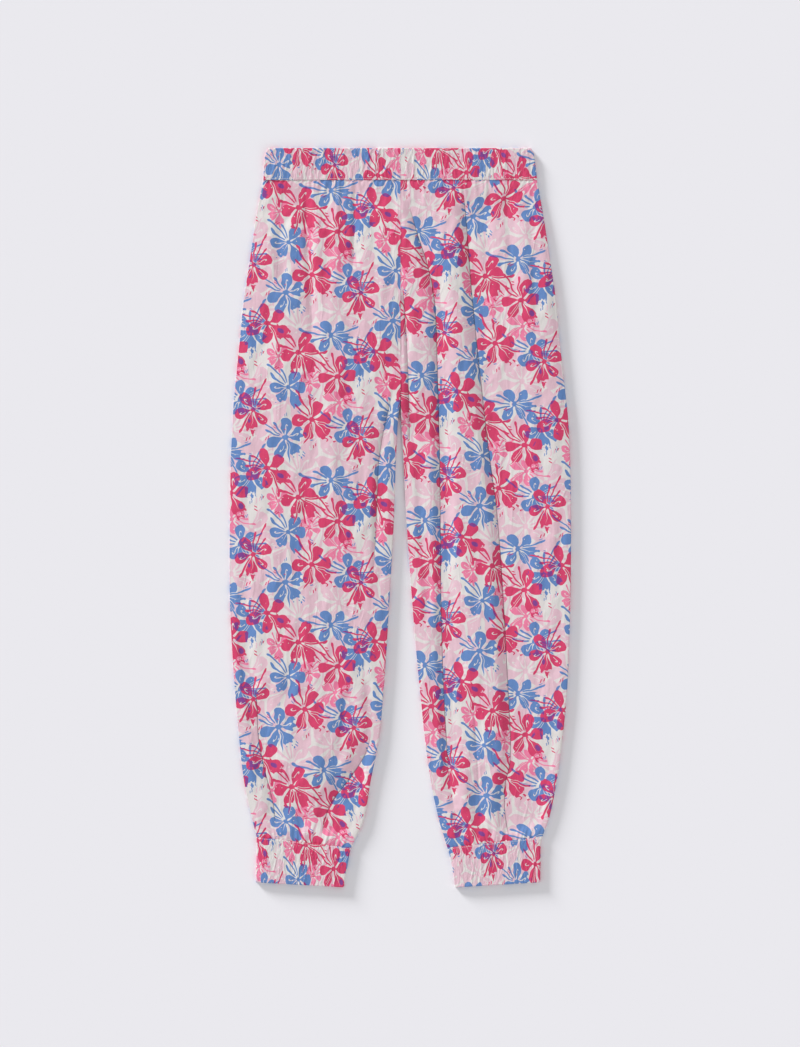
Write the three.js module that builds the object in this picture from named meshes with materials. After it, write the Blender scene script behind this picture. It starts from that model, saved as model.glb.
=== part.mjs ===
// Pull-on joggers in thin woven cloth, laid flat on their back: four leg panels, a gathered
// elastic waistband in four pieces and two gathered elastic cuffs, each its own closed wall.
// Millimetres. +Z is up and the surface is z = 0. The waist points to +Y, the hems to -Y, and
// +X is the wearer's left. The origin is the middle of the outline, on the surface.
import * as THREE from "three";
import { mergeVertices } from "three/addons/utils/BufferGeometryUtils.js";

// Driving dimensions. "down" is a distance below the waist's top edge.
const LENGTH = 960; // waist's top edge to the lowest corner of the hems
const BAND_HEIGHT = 41.5; // waist's top edge to the waistband's seam
const CROTCH_DOWN = 327; // where the inseams start
const LEG_END = 901.5; // seam between leg and cuff, at the middle of the leg
const LEG_SLANT = 14; // how much lower that seam is at the inseam than at the side
const SLANT_START = 620; // where the leg's rows begin to slant towards that seam
const HEM_DOWN = 956.75; // hem, at the middle of the cuff
const HEM_SLANT = 6.5; // how much lower the hem is at its inner corner than at its outer
const SEAM_GAP = 0.3; // air between two pieces at a seam

// Each kind of piece: its wall, the outer radius of the cloth's turn at its edges, whether its
// inside is plain under the gathers, and how far its face dips at a gathered seam.
const LAYER_GAP = 0.6; // least air between the front and the back
const LEG = { wall: 1.4, roll: 2.6, plain: false };
const BAND = { wall: 2.6, roll: 2.9, plain: true, dip: 0.9 };
const CUFF = { wall: 2.2, roll: 2.5, plain: true, dip: 0.7 };
const LEG_LEAST = 2 * LEG.wall + LAYER_GAP; // lowest that a front leg panel's face may lie
const LEAST_EASE = 0.5; // how softly the face comes down to that height
const LEG_CROWN = 1.2; // how much higher the front lies inside its edges
const CROWN_REACH = 16;
const SEAM_DIP = 1.6; // how far a leg panel's face dips at a gathered seam
const DIP_REACH = 3;

// Gathers: waves across one front piece, and how far they stand up.
const BAND_GATHERS = { count: 24, rise: 0.85, phase: 3.4 };
const CUFF_GATHERS = { count: 22, rise: 0.75, phase: 3.1 };
const POINTS_PER_GATHER = 2;
const LEG_GATHER_RISE = 1; // the same gathers on the leg's side of the seam
const LEG_GATHER_FADE = 28;
const GATHER_EDGE = 0.05; // share of a piece's width over which its gathers fade at the edges
const GATHER_UNEVEN = { share: 0.2, pace: 23 }; // how the gathers' height varies across a piece
const CASING_EDGE = 4; // width of the pressed edge of a waistband or cuff
const SOFT_WAVES = { count: 5, rise: 1.5, start: 12, full: 20, end: 150, drift: 0.03, pace: 9 };
const PUFF = { rise: 2.2, start: 10, reach: 46 }; // the cloth's swell beside a gathered seam

// Outline: distance of each edge from the centre line, on the wearer's right and left.
const LEG_OUTLINE = [
  { down: 41.5, rightOuter: 178, rightInner: 0, leftInner: 0, leftOuter: 177.5 },
  { down: 93, rightOuter: 188, rightInner: 0, leftInner: 0, leftOuter: 186.5 },
  { down: 145, rightOuter: 195.6, rightInner: 0, leftInner: 0, leftOuter: 194.4 },
  { down: 197, rightOuter: 203.5, rightInner: 0, leftInner: 0, leftOuter: 202 },
  { down: 249, rightOuter: 208.6, rightInner: 0, leftInner: 0, leftOuter: 206.8 },
  { down: 327, rightOuter: 216.4, rightInner: 0, leftInner: 0, leftOuter: 215.2 },
  { down: 353, rightOuter: 217.9, rightInner: 3, leftInner: 0.7, leftOuter: 217.9 },
  { down: 405, rightOuter: 220.4, rightInner: 5.9, leftInner: 3.9, leftOuter: 220.4 },
  { down: 483, rightOuter: 221.6, rightInner: 8.4, leftInner: 7.8, leftOuter: 221.6 },
  { down: 587, rightOuter: 221.6, rightInner: 14.3, leftInner: 15, leftOuter: 220.8 },
  { down: 665, rightOuter: 217.8, rightInner: 18.9, leftInner: 21.4, leftOuter: 218.4 },
  { down: 717, rightOuter: 214, rightInner: 22.8, leftInner: 26.6, leftOuter: 215.6 },
  { down: 769, rightOuter: 209.3, rightInner: 28, leftInner: 31.9, leftOuter: 210.2 },
  { down: 821, rightOuter: 203.4, rightInner: 38.4, leftInner: 39, leftOuter: 203.5 },
  { down: 873, rightOuter: 192.4, rightInner: 47.5, leftInner: 50, leftOuter: 192.4 },
  { down: 894, rightOuter: 187, rightInner: 57, leftInner: 56.5, leftOuter: 184.5 },
  { down: 909, rightOuter: 186.5, rightInner: 64, leftInner: 61, leftOuter: 182 },
];
const BAND_OUTLINE = [
  { down: 0, rightOuter: 171, rightInner: 0, leftInner: 0, leftOuter: 169.5 },
  { down: 5, rightOuter: 174, rightInner: 0, leftInner: 0, leftOuter: 172.5 },
  { down: 14, rightOuter: 176.5, rightInner: 0, leftInner: 0, leftOuter: 174.4 },
  { down: 41.5, rightOuter: 178, rightInner: 0, leftInner: 0, leftOuter: 177.5 },
];
const CUFF_OUTLINE = [
  { down: 894, rightOuter: 187, rightInner: 57, leftInner: 56.5, leftOuter: 184.5 },
  { down: 909, rightOuter: 186.5, rightInner: 64, leftInner: 61, leftOuter: 182 },
  { down: 925, rightOuter: 187.2, rightInner: 67.6, leftInner: 65.6, leftOuter: 182 },
  { down: 960, rightOuter: 187.8, rightInner: 73.4, leftInner: 71, leftOuter: 181.3 },
];

// The largest folds. path: points [x, down] along the fold; half: half its width; rise: its
// height, or its depth if negative; lean: how much wider its slope is on the +X side (-1 to 1).
const FOLDS = [
  {
    name: "left_front_crease", half: 8, rise: -3.6, lean: 0.2,
    path: [[15, 70], [44, 215], [50, 330], [51, 500], [52, 640], [62, 770]],
  },
  {
    name: "left_front_ridge", half: 9, rise: 3.4, lean: 0.5,
    path: [[50, 55], [60, 200], [62, 330], [64, 500], [66, 640], [78, 740]],
  },
  {
    name: "left_side_crease", half: 7, rise: -3.8, lean: 0.1,
    path: [[82, 48], [90, 160], [106, 290], [124, 457], [134, 600], [139, 770], [145, 892]],
  },
  {
    name: "left_side_ridge", half: 11, rise: 3.2, lean: 0.4,
    path: [[96, 60], [104, 170], [120, 300], [138, 457], [147, 600], [152, 770], [158, 880]],
  },
  {
    name: "left_inner_ridge", half: 12, rise: 1.8, lean: 0,
    path: [[28, 330], [33, 450], [38, 560], [45, 700]],
  },
  { name: "left_hip_crease", half: 7, rise: -2.4, lean: 0.2, path: [[139, 48], [142, 110], [148, 190]] },
  { name: "left_crotch_tuck", half: 4, rise: 2.4, lean: -0.2, path: [[6, 270], [8, 320], [11, 380]] },
  { name: "left_shin_crease", half: 7, rise: -2.6, lean: 0, path: [[98, 760], [104, 830], [107, 888]] },
  { name: "left_calf_ridge", half: 8, rise: 2.2, lean: 0, path: [[70, 790], [79, 850], [84, 890]] },
  { name: "centre_seam_dip", half: 5, rise: -1.4, lean: 0, path: [[0, 46], [0, 180], [0, 322]] },
  {
    name: "right_inner_crease", half: 6, rise: -2.6, lean: -0.2,
    path: [[-4, 240], [-18, 330], [-27, 420], [-31, 500], [-38, 590]],
  },
  {
    name: "right_inner_ridge", half: 9, rise: 2, lean: 0,
    path: [[-34, 320], [-43, 430], [-48, 560], [-54, 680]],
  },
  { name: "right_hip_crease", half: 6, rise: -3.2, lean: 0.2, path: [[-122, 46], [-121, 120], [-115, 250]] },
  { name: "right_hip_ridge", half: 10, rise: 2.6, lean: 0.2, path: [[-105, 50], [-108, 150], [-104, 300]] },
  { name: "right_belly_crease", half: 6, rise: -2.8, lean: 0.2, path: [[-60, 46], [-64, 110], [-70, 190]] },
  {
    name: "right_thigh_ridge", half: 16, rise: 2, lean: 0,
    path: [[-84, 100], [-86, 260], [-92, 430], [-98, 590]],
  },
  {
    name: "right_shin_crease", half: 6, rise: -3.4, lean: 0.3,
    path: [[-203, 560], [-196, 652], [-185, 717], [-179, 782], [-166, 834], [-143, 865]],
  },
  {
    name: "right_shin_ridge", half: 9, rise: 2.8, lean: 0.3,
    path: [[-188, 590], [-180, 660], [-169, 725], [-161, 785], [-147, 830]],
  },
  { name: "right_ankle_crease", half: 6, rise: -2.6, lean: 0, path: [[-137, 800], [-130, 850], [-124, 892]] },
  { name: "right_calf_crease", half: 7, rise: -2.8, lean: 0, path: [[-62, 770], [-79, 840], [-96, 890]] },
  { name: "right_calf_ridge", half: 9, rise: 2, lean: 0, path: [[-100, 700], [-108, 780], [-112, 870]] },
];
const FOLD_STEPS = 24; // straight stretches that stand for a fold's path
const FOLD_FADE = 0.16; // share of a fold's length over which each end fades
const EDGE_QUIET = 16; // folds fade out this near to a side seam or inseam
const CROTCH_BLEND = { above: 12, below: 28 }; // where the centre seam's edge turns into a fold

// Grid: points across a row, by the row's distance from a gathered seam.
const ROLL_STEPS = 3; // straight stretches in a quarter turn of the cloth
const LEG_ACROSS = 26;
const LEG_ROW_STEP = 40;
const TOP_ROWS = [
  { off: 0, across: BAND_GATHERS.count * POINTS_PER_GATHER },
  { off: 5, across: BAND_GATHERS.count * POINTS_PER_GATHER },
  { off: 16, across: 40 },
  { off: 34, across: 32 },
];
const END_ROWS = [
  { off: 0, across: CUFF_GATHERS.count * POINTS_PER_GATHER },
  { off: 5, across: CUFF_GATHERS.count * POINTS_PER_GATHER },
  { off: 15, across: 38 },
  { off: 32, across: 30 },
];
const BACK_ACROSS = 2;
const CROWDING = 3; // how much closer the points stand on a fold than on plain cloth
const CROWD_STEPS = 160;
const MERGE_WITHIN = 1e-4;
const CROWD_PASSES = 4; // how often each row's columns are drawn towards its neighbours'

const PRINTED = { color: new THREE.Color(0.88, 0.72, 0.76), roughness: 0.85, metalness: 0 };

const { lerp: mix, smoothstep, clamp } = THREE.MathUtils;
const rises = (from, to, at) => smoothstep(at, from, to);
const falls = (from, to, at) => 1 - smoothstep(at, from, to);

/** A table's column at a distance down, on a smooth curve through its rows. */
function along(table, column, down) {
  const last = table.length - 1;
  const at = clamp(table.filter((row) => row.down <= down).length - 1, 0, last - 1);
  const [a, b] = [table[at], table[at + 1]];
  const slope = (i) => {
    const [low, high] = [table[Math.max(i - 1, 0)], table[Math.min(i + 1, last)]];
    return (high[column] - low[column]) / (high.down - low.down);
  };
  const span = b.down - a.down;
  const t = clamp((down - a.down) / span, 0, 1);
  const ends = mix(a[column], b[column], t * t * (3 - 2 * t));
  return ends + span * t * (1 - t) * ((1 - t) * slope(at) - t * slope(at + 1));
}

/** Each fold with its path laid out as short straight stretches. */
const laidFolds = FOLDS.map((fold) => {
  const points = fold.path.map(([x, down]) => new THREE.Vector2(x, down));
  return { ...fold, line: new THREE.SplineCurve(points).getPoints(FOLD_STEPS) };
});

/** How strongly one fold works at a place, 1 on its line and 0 away from it. */
function foldStrength(fold, x, down) {
  const place = new THREE.Vector2(x, down);
  let nearest = { away: Infinity };
  for (let i = 0; i < FOLD_STEPS; i++) {
    const run = fold.line[i + 1].clone().sub(fold.line[i]);
    const from = place.clone().sub(fold.line[i]);
    const t = clamp(from.dot(run) / run.lengthSq(), 0, 1);
    const off = from.clone().addScaledVector(run, -t);
    if (off.length() < nearest.away) nearest = { away: off.length(), off, share: (i + t) / FOLD_STEPS };
  }
  const half = fold.half * (1 + Math.sign(nearest.off.x) * fold.lean);
  const fade = rises(0, FOLD_FADE, nearest.share) * falls(1 - FOLD_FADE, 1, nearest.share);
  return fade * Math.exp(-((nearest.away / half) ** 2));
}

/** The fine gathers' wave, uneven from one to the next. share runs across the piece. */
function gatherWave(gathers, share) {
  const uneven = 1 - GATHER_UNEVEN.share * (1 - Math.sin(GATHER_UNEVEN.pace * share + gathers.phase));
  const edges = rises(0, GATHER_EDGE, share) * falls(1 - GATHER_EDGE, 1, share);
  return edges * uneven * Math.cos(2 * Math.PI * gathers.count * share);
}

/** What a gathered seam does to the leg's cloth at a distance from it. */
function seamHeight(gathers, share, off) {
  const fine = LEG_GATHER_RISE * falls(0, LEG_GATHER_FADE, off) * gatherWave(gathers, share);
  const drift = SOFT_WAVES.drift * Math.sin(SOFT_WAVES.pace * share);
  const turn = SOFT_WAVES.count * (share + drift) + gathers.phase;
  const reach = rises(0, SOFT_WAVES.start, off) * falls(SOFT_WAVES.full, SOFT_WAVES.end, off);
  const soft = SOFT_WAVES.rise * reach * Math.cos(2 * Math.PI * turn);
  const puff = PUFF.rise * rises(0, PUFF.start, off) * Math.exp(-((off / PUFF.reach) ** 2));
  return fine + soft + puff - SEAM_DIP * Math.exp(-off / DIP_REACH);
}

/** The front leg panel's upper face. edge is the distance to the nearest turn of the cloth. */
function legFace(x, down, nominal, share, edge) {
  const folds = laidFolds.reduce((sum, fold) => sum + fold.rise * foldStrength(fold, x, down), 0);
  const crown = LEG_CROWN * (1 - Math.exp(-edge / CROWN_REACH));
  const top = seamHeight(BAND_GATHERS, share, nominal - BAND_HEIGHT);
  const end = seamHeight(CUFF_GATHERS, share, LEG_END - nominal);
  const room = 2 * LEG.roll + crown + rises(0, EDGE_QUIET, edge) * (folds + top + end) - LEG_LEAST;
  return LEG_LEAST + (room + Math.hypot(room, LEAST_EASE)) / 2; // never under the least height
}

const evenShares = (count) => Array.from({ length: count + 1 }, (_, i) => i / count);

/** One row of points across a piece. Each point holds both faces of the wall: out shows. */
class Row {
  constructor(piece, { nominal, slant, innerRoll }) {
    Object.assign(this, piece, { nominal, innerRoll });
    this.side = piece.hand === "left" ? 1 : -1;
    this.downOuter = nominal - slant / 2;
    this.downInner = nominal + slant / 2;
    this.outer = along(piece.outline, `${piece.hand}Outer`, this.downOuter);
    this.inner = Math.max(along(piece.outline, `${piece.hand}Inner`, this.downInner), SEAM_GAP / 2);
    this.points = [];
  }

  /** Distance down at a distance from the centre line. */
  down(x) {
    return mix(this.downInner, this.downOuter, (x - this.inner) / (this.outer - this.inner));
  }

  /** Height of the face that shows. */
  face(x, share) {
    const edge = Math.min(this.outer - this.roll - x, mix(LENGTH, x - this.inner - this.roll, this.innerRoll));
    return this.front ? this.height(this.side * x, this.down(x), this.nominal, share, edge) : 0;
  }

  /** Height of the wall's inner face under a face that shows. */
  under(top) {
    if (!this.front) return this.wall;
    return (this.plain ? 2 * this.roll : top) - this.wall;
  }

  add(share, out, into) {
    const place = ({ x, z }) => new THREE.Vector3(this.side * x, LENGTH / 2 - this.down(x), z);
    this.points.push({ share, out: place(out), in: place(into) });
  }

  /** Distance from the centre line at a share of the way across the flat part. */
  at(share) {
    return mix(this.outer - this.roll, this.inner + this.roll, share);
  }

  /** Shares of the flat part for the columns, closer together where folds pass. */
  crowded(count) {
    const sums = [0];
    for (let i = 0; i < CROWD_STEPS; i++) {
      const x = this.at((i + 0.5) / CROWD_STEPS);
      const near = laidFolds.reduce((sum, fold) => sum + foldStrength(fold, this.side * x, this.down(x)), 0);
      sums.push(sums[i] + 1 + CROWDING * near);
    }
    return evenShares(count).map((share) => {
      const wanted = sums[CROWD_STEPS] * share;
      const step = clamp(sums.filter((sum) => sum <= wanted).length - 1, 0, CROWD_STEPS - 1);
      return (step + (wanted - sums[step]) / (sums[step + 1] - sums[step])) / CROWD_STEPS;
    });
  }

  /** One point of the cloth's quarter turn at an edge. amount 0 leaves the edge flat. */
  turn(share, edge, inward, amount, step, top) {
    const angle = (step / ROLL_STEPS) * (Math.PI / 2);
    const up = this.front ? 1 : -1;
    const apart = (SEAM_GAP / 2) * Math.cos(angle);
    const curled = (radius, full) => ({
      x: edge + inward * (this.roll - radius * Math.cos(angle)),
      z: this.roll + up * apart + (full - this.roll) * Math.sin(angle),
    });
    const flatX = edge + inward * this.roll * Math.sin(angle);
    const mixed = (curl, z) => ({ x: mix(flatX, curl.x, amount), z: mix(z, curl.z, amount) });
    const inner = this.under(top);
    this.add(share, mixed(curled(this.roll, top), top), mixed(curled(this.roll - this.wall, inner), inner));
  }

  /** Fills the row from the side seam to the inseam or centre seam. */
  fill(shares) {
    const columns = shares.map((share) => this.at(share));
    const count = shares.length - 1;
    for (let step = 0; step < ROLL_STEPS; step++)
      this.turn(step / ROLL_STEPS - 1, this.outer, -1, 1, step, this.face(columns[0], 0));
    columns.forEach((x, i) => {
      const top = this.face(x, shares[i]);
      this.add(i / count, { x, z: top }, { x, z: this.under(top) });
    });
    for (let step = ROLL_STEPS - 1; step >= 0; step--)
      this.turn(2 - step / ROLL_STEPS, this.inner, 1, this.innerRoll, step, this.face(columns[count], 1));
    return this.points;
  }
}

/** Triangles between two rows of points whose counts may differ. */
function zip(lower, upper, triangle) {
  let [i, j] = [0, 0];
  while (i < lower.length - 1 || j < upper.length - 1) {
    const [nextLower, nextUpper] = [lower[i + 1]?.share ?? Infinity, upper[j + 1]?.share ?? Infinity];
    if (nextLower <= nextUpper) triangle(lower[i], lower[++i], upper[j]);
    else triangle(lower[i], upper[j + 1], upper[j++]);
  }
}

/** One closed wall from its rows. Rows that meet themselves make a tube. */
function wallOf(rows, flip) {
  const corners = [];
  const face = (a, b, c) => corners.push(...(flip ? [a, c, b] : [a, b, c]));
  const band = (a, b) => {
    face(a.out, b.out, b.in);
    face(a.out, b.in, a.in);
  };
  const [first, last] = [rows[0], rows[rows.length - 1]];
  rows.slice(1).forEach((upper, r) => {
    zip(rows[r], upper, (a, b, c) => {
      face(a.out, c.out, b.out);
      face(a.in, b.in, c.in);
    });
  });
  first.slice(1).forEach((point, i) => band(first[i], point));
  last.slice(1).forEach((point, i) => band(point, last[i]));
  if (first[0].out !== first[first.length - 1].out)
    rows.slice(1).forEach((upper, r) => {
      band(upper[0], rows[r][0]);
      band(rows[r][rows[r].length - 1], upper[upper.length - 1]);
    });
  const geometry = new THREE.BufferGeometry().setFromPoints(corners);
  return mergeVertices(geometry, MERGE_WITHIN);
}

/** Distances down a leg panel, with the points across each row. */
function legRows() {
  const start = BAND_HEIGHT + SEAM_GAP / 2;
  const end = LEG_END - SEAM_GAP / 2;
  const top = TOP_ROWS.map(({ off, across }) => ({ nominal: start + off, across }));
  const bottom = END_ROWS.map(({ off, across }) => ({ nominal: end - off, across })).reverse();
  const [from, to] = [top[top.length - 1].nominal, bottom[0].nominal];
  const count = Math.round((to - from) / LEG_ROW_STEP);
  const middle = Array.from({ length: count - 1 }, (_, i) => mix(from, to, (i + 1) / count));
  return [...top, ...middle.map((nominal) => ({ nominal, across: LEG_ACROSS })), ...bottom];
}

/** One leg panel, from the waistband's seam to the cuff's. */
function legPanel(hand, front) {
  const piece = { ...LEG, hand, front, outline: LEG_OUTLINE, height: legFace };
  const rows = legRows().map(({ nominal, across }) => {
    const slant = LEG_SLANT * rises(SLANT_START, LEG_END, nominal);
    const innerRoll = rises(CROTCH_DOWN - CROTCH_BLEND.above, CROTCH_DOWN + CROTCH_BLEND.below, nominal);
    const row = new Row(piece, { nominal, slant, innerRoll });
    if (!front) return { row, shares: evenShares(BACK_ACROSS) };
    return { row, shares: across === LEG_ACROSS ? row.crowded(across) : evenShares(across) };
  });
  for (let pass = 0; pass < CROWD_PASSES; pass++) easeColumns(rows);
  return wallOf(rows.map(({ row, shares }) => row.fill(shares)), front === (hand === "left"));
}

/** Draws each row's columns towards those of the rows above and below it. */
function easeColumns(rows) {
  const before = rows.map(({ shares }) => shares);
  const like = (shares, i) => (before[i]?.length === shares.length ? before[i] : shares);
  rows.forEach((entry, i) => {
    const [above, below] = [like(entry.shares, i - 1), like(entry.shares, i + 1)];
    entry.shares = entry.shares.map((share, column) => (above[column] + 2 * share + below[column]) / 4);
  });
}

/** The rows of an elastic casing, whose gathers are pressed flat at its two edges. */
function casingRows(kind, gathers, start, end) {
  const height = (dip) => (x, down, nominal, share) =>
    2 * kind.roll - kind.dip * dip + gathers.rise * (1 - dip) * gatherWave(gathers, share);
  return [
    { nominal: start, height: height(1) },
    { nominal: start + CASING_EDGE, height: height(0) },
    { nominal: end - CASING_EDGE, height: height(0) },
    { nominal: end, height: height(1) },
  ];
}

/** One quarter of the waistband, from side seam to centre seam. */
function bandPiece(hand, front) {
  const across = front ? BAND_GATHERS.count * POINTS_PER_GATHER : BACK_ACROSS;
  const rows = casingRows(BAND, BAND_GATHERS, 0, BAND_HEIGHT - SEAM_GAP / 2).map(({ nominal, height }) => {
    const piece = { ...BAND, hand, front, outline: BAND_OUTLINE, height };
    return new Row(piece, { nominal, slant: 0, innerRoll: 0 }).fill(evenShares(across));
  });
  return wallOf(rows, front === (hand === "left"));
}

/** A closed ring from a front row and a back row that meet at the two edges. */
function joinHalves(front, back) {
  const meet = (a, b) => ({ out: a.out.clone().lerp(b.out, 0.5), in: a.in.clone().lerp(b.in, 0.5) });
  const outer = meet(front[0], back[0]);
  const inner = meet(front[front.length - 1], back[back.length - 1]);
  const ring = [outer, ...front.slice(1, -1), inner, ...back.slice(1, -1).reverse()];
  return [...ring, outer].map((point, i) => ({ ...point, share: i }));
}

/** One cuff, a flattened tube gathered across its front. */
function cuff(hand) {
  const start = LEG_END + SEAM_GAP / 2;
  const rows = casingRows(CUFF, CUFF_GATHERS, start, HEM_DOWN).map(({ nominal, height }) => {
    const slant = mix(LEG_SLANT, HEM_SLANT, (nominal - start) / (HEM_DOWN - start));
    const half = (front, across) => {
      const piece = { ...CUFF, hand, front, outline: CUFF_OUTLINE, height };
      return new Row(piece, { nominal, slant, innerRoll: 1 }).fill(evenShares(across));
    };
    return joinHalves(half(true, CUFF_GATHERS.count * POINTS_PER_GATHER), half(false, BACK_ACROSS));
  });
  return wallOf(rows, hand === "left");
}

const joggers = new THREE.Group();
const addPiece = (name, geometry) => {
  const mesh = new THREE.Mesh(geometry, new THREE.MeshStandardMaterial(PRINTED));
  mesh.name = name;
  joggers.add(mesh);
};

for (const hand of ["right", "left"]) {
  for (const face of ["front", "back"]) {
    addPiece(`waistband_${face}_${hand}`, bandPiece(hand, face === "front"));
    addPiece(`leg_${face}_${hand}`, legPanel(hand, face === "front"));
  }
  addPiece(`cuff_${hand}`, cuff(hand));
}

export default joggers;
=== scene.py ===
"""Pull-on joggers in thin floral-printed cloth, laid flat on their back, front side up.

Sizes are in millimetres until a mesh is made. "down" is the distance below the waistband's top
edge, "x" is positive towards the wearer's left, and "share" runs across a piece from its side seam.
"""

from __future__ import annotations

import logging
import math
from dataclasses import dataclass, replace
from enum import Enum
from typing import Any, Callable, Sequence

import bpy
import numpy as np
from bpy.types import ID, Material, Mesh, Node, NodeSocket, NodeTree, Object
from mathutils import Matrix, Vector

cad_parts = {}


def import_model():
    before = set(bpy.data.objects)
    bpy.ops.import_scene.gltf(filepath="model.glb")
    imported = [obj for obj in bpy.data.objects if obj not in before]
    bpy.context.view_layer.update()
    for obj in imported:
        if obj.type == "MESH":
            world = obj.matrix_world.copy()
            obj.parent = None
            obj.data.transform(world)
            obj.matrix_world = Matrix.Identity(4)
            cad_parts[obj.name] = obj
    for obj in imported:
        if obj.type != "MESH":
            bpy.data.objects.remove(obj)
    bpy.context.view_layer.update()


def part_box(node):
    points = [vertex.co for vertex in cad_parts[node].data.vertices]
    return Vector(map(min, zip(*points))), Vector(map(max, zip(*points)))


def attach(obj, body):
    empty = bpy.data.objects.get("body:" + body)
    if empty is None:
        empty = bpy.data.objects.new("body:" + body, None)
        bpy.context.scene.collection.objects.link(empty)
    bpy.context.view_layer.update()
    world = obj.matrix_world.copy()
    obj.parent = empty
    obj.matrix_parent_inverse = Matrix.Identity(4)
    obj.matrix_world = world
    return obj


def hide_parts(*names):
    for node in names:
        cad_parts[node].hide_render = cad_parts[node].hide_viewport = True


LOG = logging.getLogger("joggers")
MM = 0.001
TAU = 2 * math.pi
BODY = "root"
STITCHES_FROM_SEAM = 1.7
STITCH_LIFT = -0.05
PRINT_PLACE = "print_place"
GATHERING = "gathering"
LAP_OFFSETS = "lap_offsets"
LAP_WIDTHS = "lap_widths"
LAPS = 3
SHARP_EDGE = 75.0  # degrees between faces that don't shade smoothly
FACES_UP = 0.8  # how nearly flat cloth lies where it is stitched
FAR = 1000.0  # further than any crease reaches from an edge
WAVE_RATE = 20  # radians in a unit of the Wave node at scale 1

Array = np.ndarray
Pair = tuple[float, float]
Triple = tuple[float, float, float]
Value = Any  # a number, a tuple, a material or a Wire
Feeds = dict[Any, Any]  # what a node's inputs get, by name or place


class Hand(Enum):
    """The wearer's side that a piece is on. The value is the sign of its x."""

    RIGHT = -1
    LEFT = 1

    @property
    def word(self) -> str:
        """The side's name in piece and node names."""
        return self.name.lower()


class Face(Enum):
    """Which layer of the garment a piece is in."""

    FRONT = "front"
    BACK = "back"


def rises(low: float, high: float, at: Array) -> Array:
    """Smooth step from 0 at low to 1 at high."""
    t = np.clip((at - low) / (high - low), 0.0, 1.0)
    return t * t * (3 - 2 * t)


def falls(low: float, high: float, at: Array) -> Array:
    """Smooth step from 1 at low to 0 at high."""
    return 1 - rises(low, high, at)


# --- The garment's cut ---


@dataclass(frozen=True)
class Measures:
    """Where the garment's seams and edges lie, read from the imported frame."""

    length: float
    band_height: float
    leg_end: float
    hem: float
    crotch: float = 327.0
    hip_half: float = 216.0
    leg_slant: float = 14.0
    hem_slant: float = 6.5
    slant_start: float = 620.0
    cad_gap: float = 0.3
    seam_gap: float = 0.06

    @classmethod
    def from_frame(cls) -> Measures:
        """Reads the measures from the CAD nodes' boxes.

        Returns:
            The garment's measures in millimetres.
        """
        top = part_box("waistband_front_left")[1].y / MM
        band_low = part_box("waistband_front_left")[0].y / MM
        leg_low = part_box("leg_front_left")[0].y / MM
        hem_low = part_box("cuff_left")[0].y / MM
        return cls(
            length=top - hem_low,
            band_height=top - band_low + cls.cad_gap / 2,
            leg_end=top - leg_low + cls.cad_gap / 2 - cls.leg_slant / 2,
            hem=top - hem_low - cls.hem_slant / 2,
        )


@dataclass(frozen=True)
class Outline:
    """A piece's edges as rows of (down, right outer, right inner, left inner, left outer)."""

    rows: tuple[tuple[float, float, float, float, float], ...]

    def edge(self, hand: Hand, outer: bool, down: Array) -> Array:
        """Distance of one edge from the centre line.

        Args:
            hand: the wearer's side.
            outer: True for the side seam, False for the inseam or centre seam.
            down: distances below the waistband's top.

        Returns:
            The edge's distance on a smooth curve through the rows.
        """
        table = np.array(self.rows)
        column = {Hand.RIGHT: (2, 1), Hand.LEFT: (3, 4)}[hand][outer]
        xs, ys = table[:, 0], table[:, column]
        slopes = np.empty_like(ys)
        slopes[1:-1] = (ys[2:] - ys[:-2]) / (xs[2:] - xs[:-2])
        slopes[[0, -1]] = (np.diff(ys) / np.diff(xs))[[0, -1]]
        at = np.clip(np.searchsorted(xs, down, side="right") - 1, 0, len(xs) - 2)
        span = xs[at + 1] - xs[at]
        t = np.clip((down - xs[at]) / span, 0.0, 1.0)
        ends = ys[at] + (ys[at + 1] - ys[at]) * t * t * (3 - 2 * t)
        return ends + span * t * (1 - t) * ((1 - t) * slopes[at] - t * slopes[at + 1])


LEG_OUTLINE = Outline(
    (
        (41.5, 178.0, 0.0, 0.0, 177.5),
        (93.0, 188.0, 0.0, 0.0, 186.5),
        (145.0, 195.6, 0.0, 0.0, 194.4),
        (197.0, 203.5, 0.0, 0.0, 202.0),
        (249.0, 208.6, 0.0, 0.0, 206.8),
        (327.0, 216.4, 0.0, 0.0, 215.2),
        (353.0, 217.9, 3.0, 0.7, 217.9),
        (405.0, 220.4, 5.9, 3.9, 220.4),
        (483.0, 221.6, 8.4, 7.8, 221.6),
        (587.0, 221.6, 14.3, 15.0, 220.8),
        (665.0, 217.8, 18.9, 21.4, 218.4),
        (717.0, 214.0, 22.8, 26.6, 215.6),
        (769.0, 209.3, 28.0, 31.9, 210.2),
        (821.0, 203.4, 38.4, 39.0, 203.5),
        (873.0, 192.4, 47.5, 50.0, 192.4),
        (894.0, 187.0, 57.0, 56.5, 184.5),
        (909.0, 186.5, 64.0, 61.0, 182.0),
    )
)
BAND_OUTLINE = Outline(
    (
        (0.0, 171.0, 0.0, 0.0, 169.5),
        (5.0, 174.0, 0.0, 0.0, 172.5),
        (14.0, 176.5, 0.0, 0.0, 174.4),
        (41.5, 178.0, 0.0, 0.0, 177.5),
    )
)
CUFF_OUTLINE = Outline(
    (
        (894.0, 187.0, 57.0, 56.5, 184.5),
        (909.0, 186.5, 64.0, 61.0, 182.0),
        (925.0, 187.2, 67.6, 65.6, 182.0),
        (960.0, 187.8, 73.4, 71.0, 181.3),
    )
)


# --- Folds, gathers and ripples ---


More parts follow.
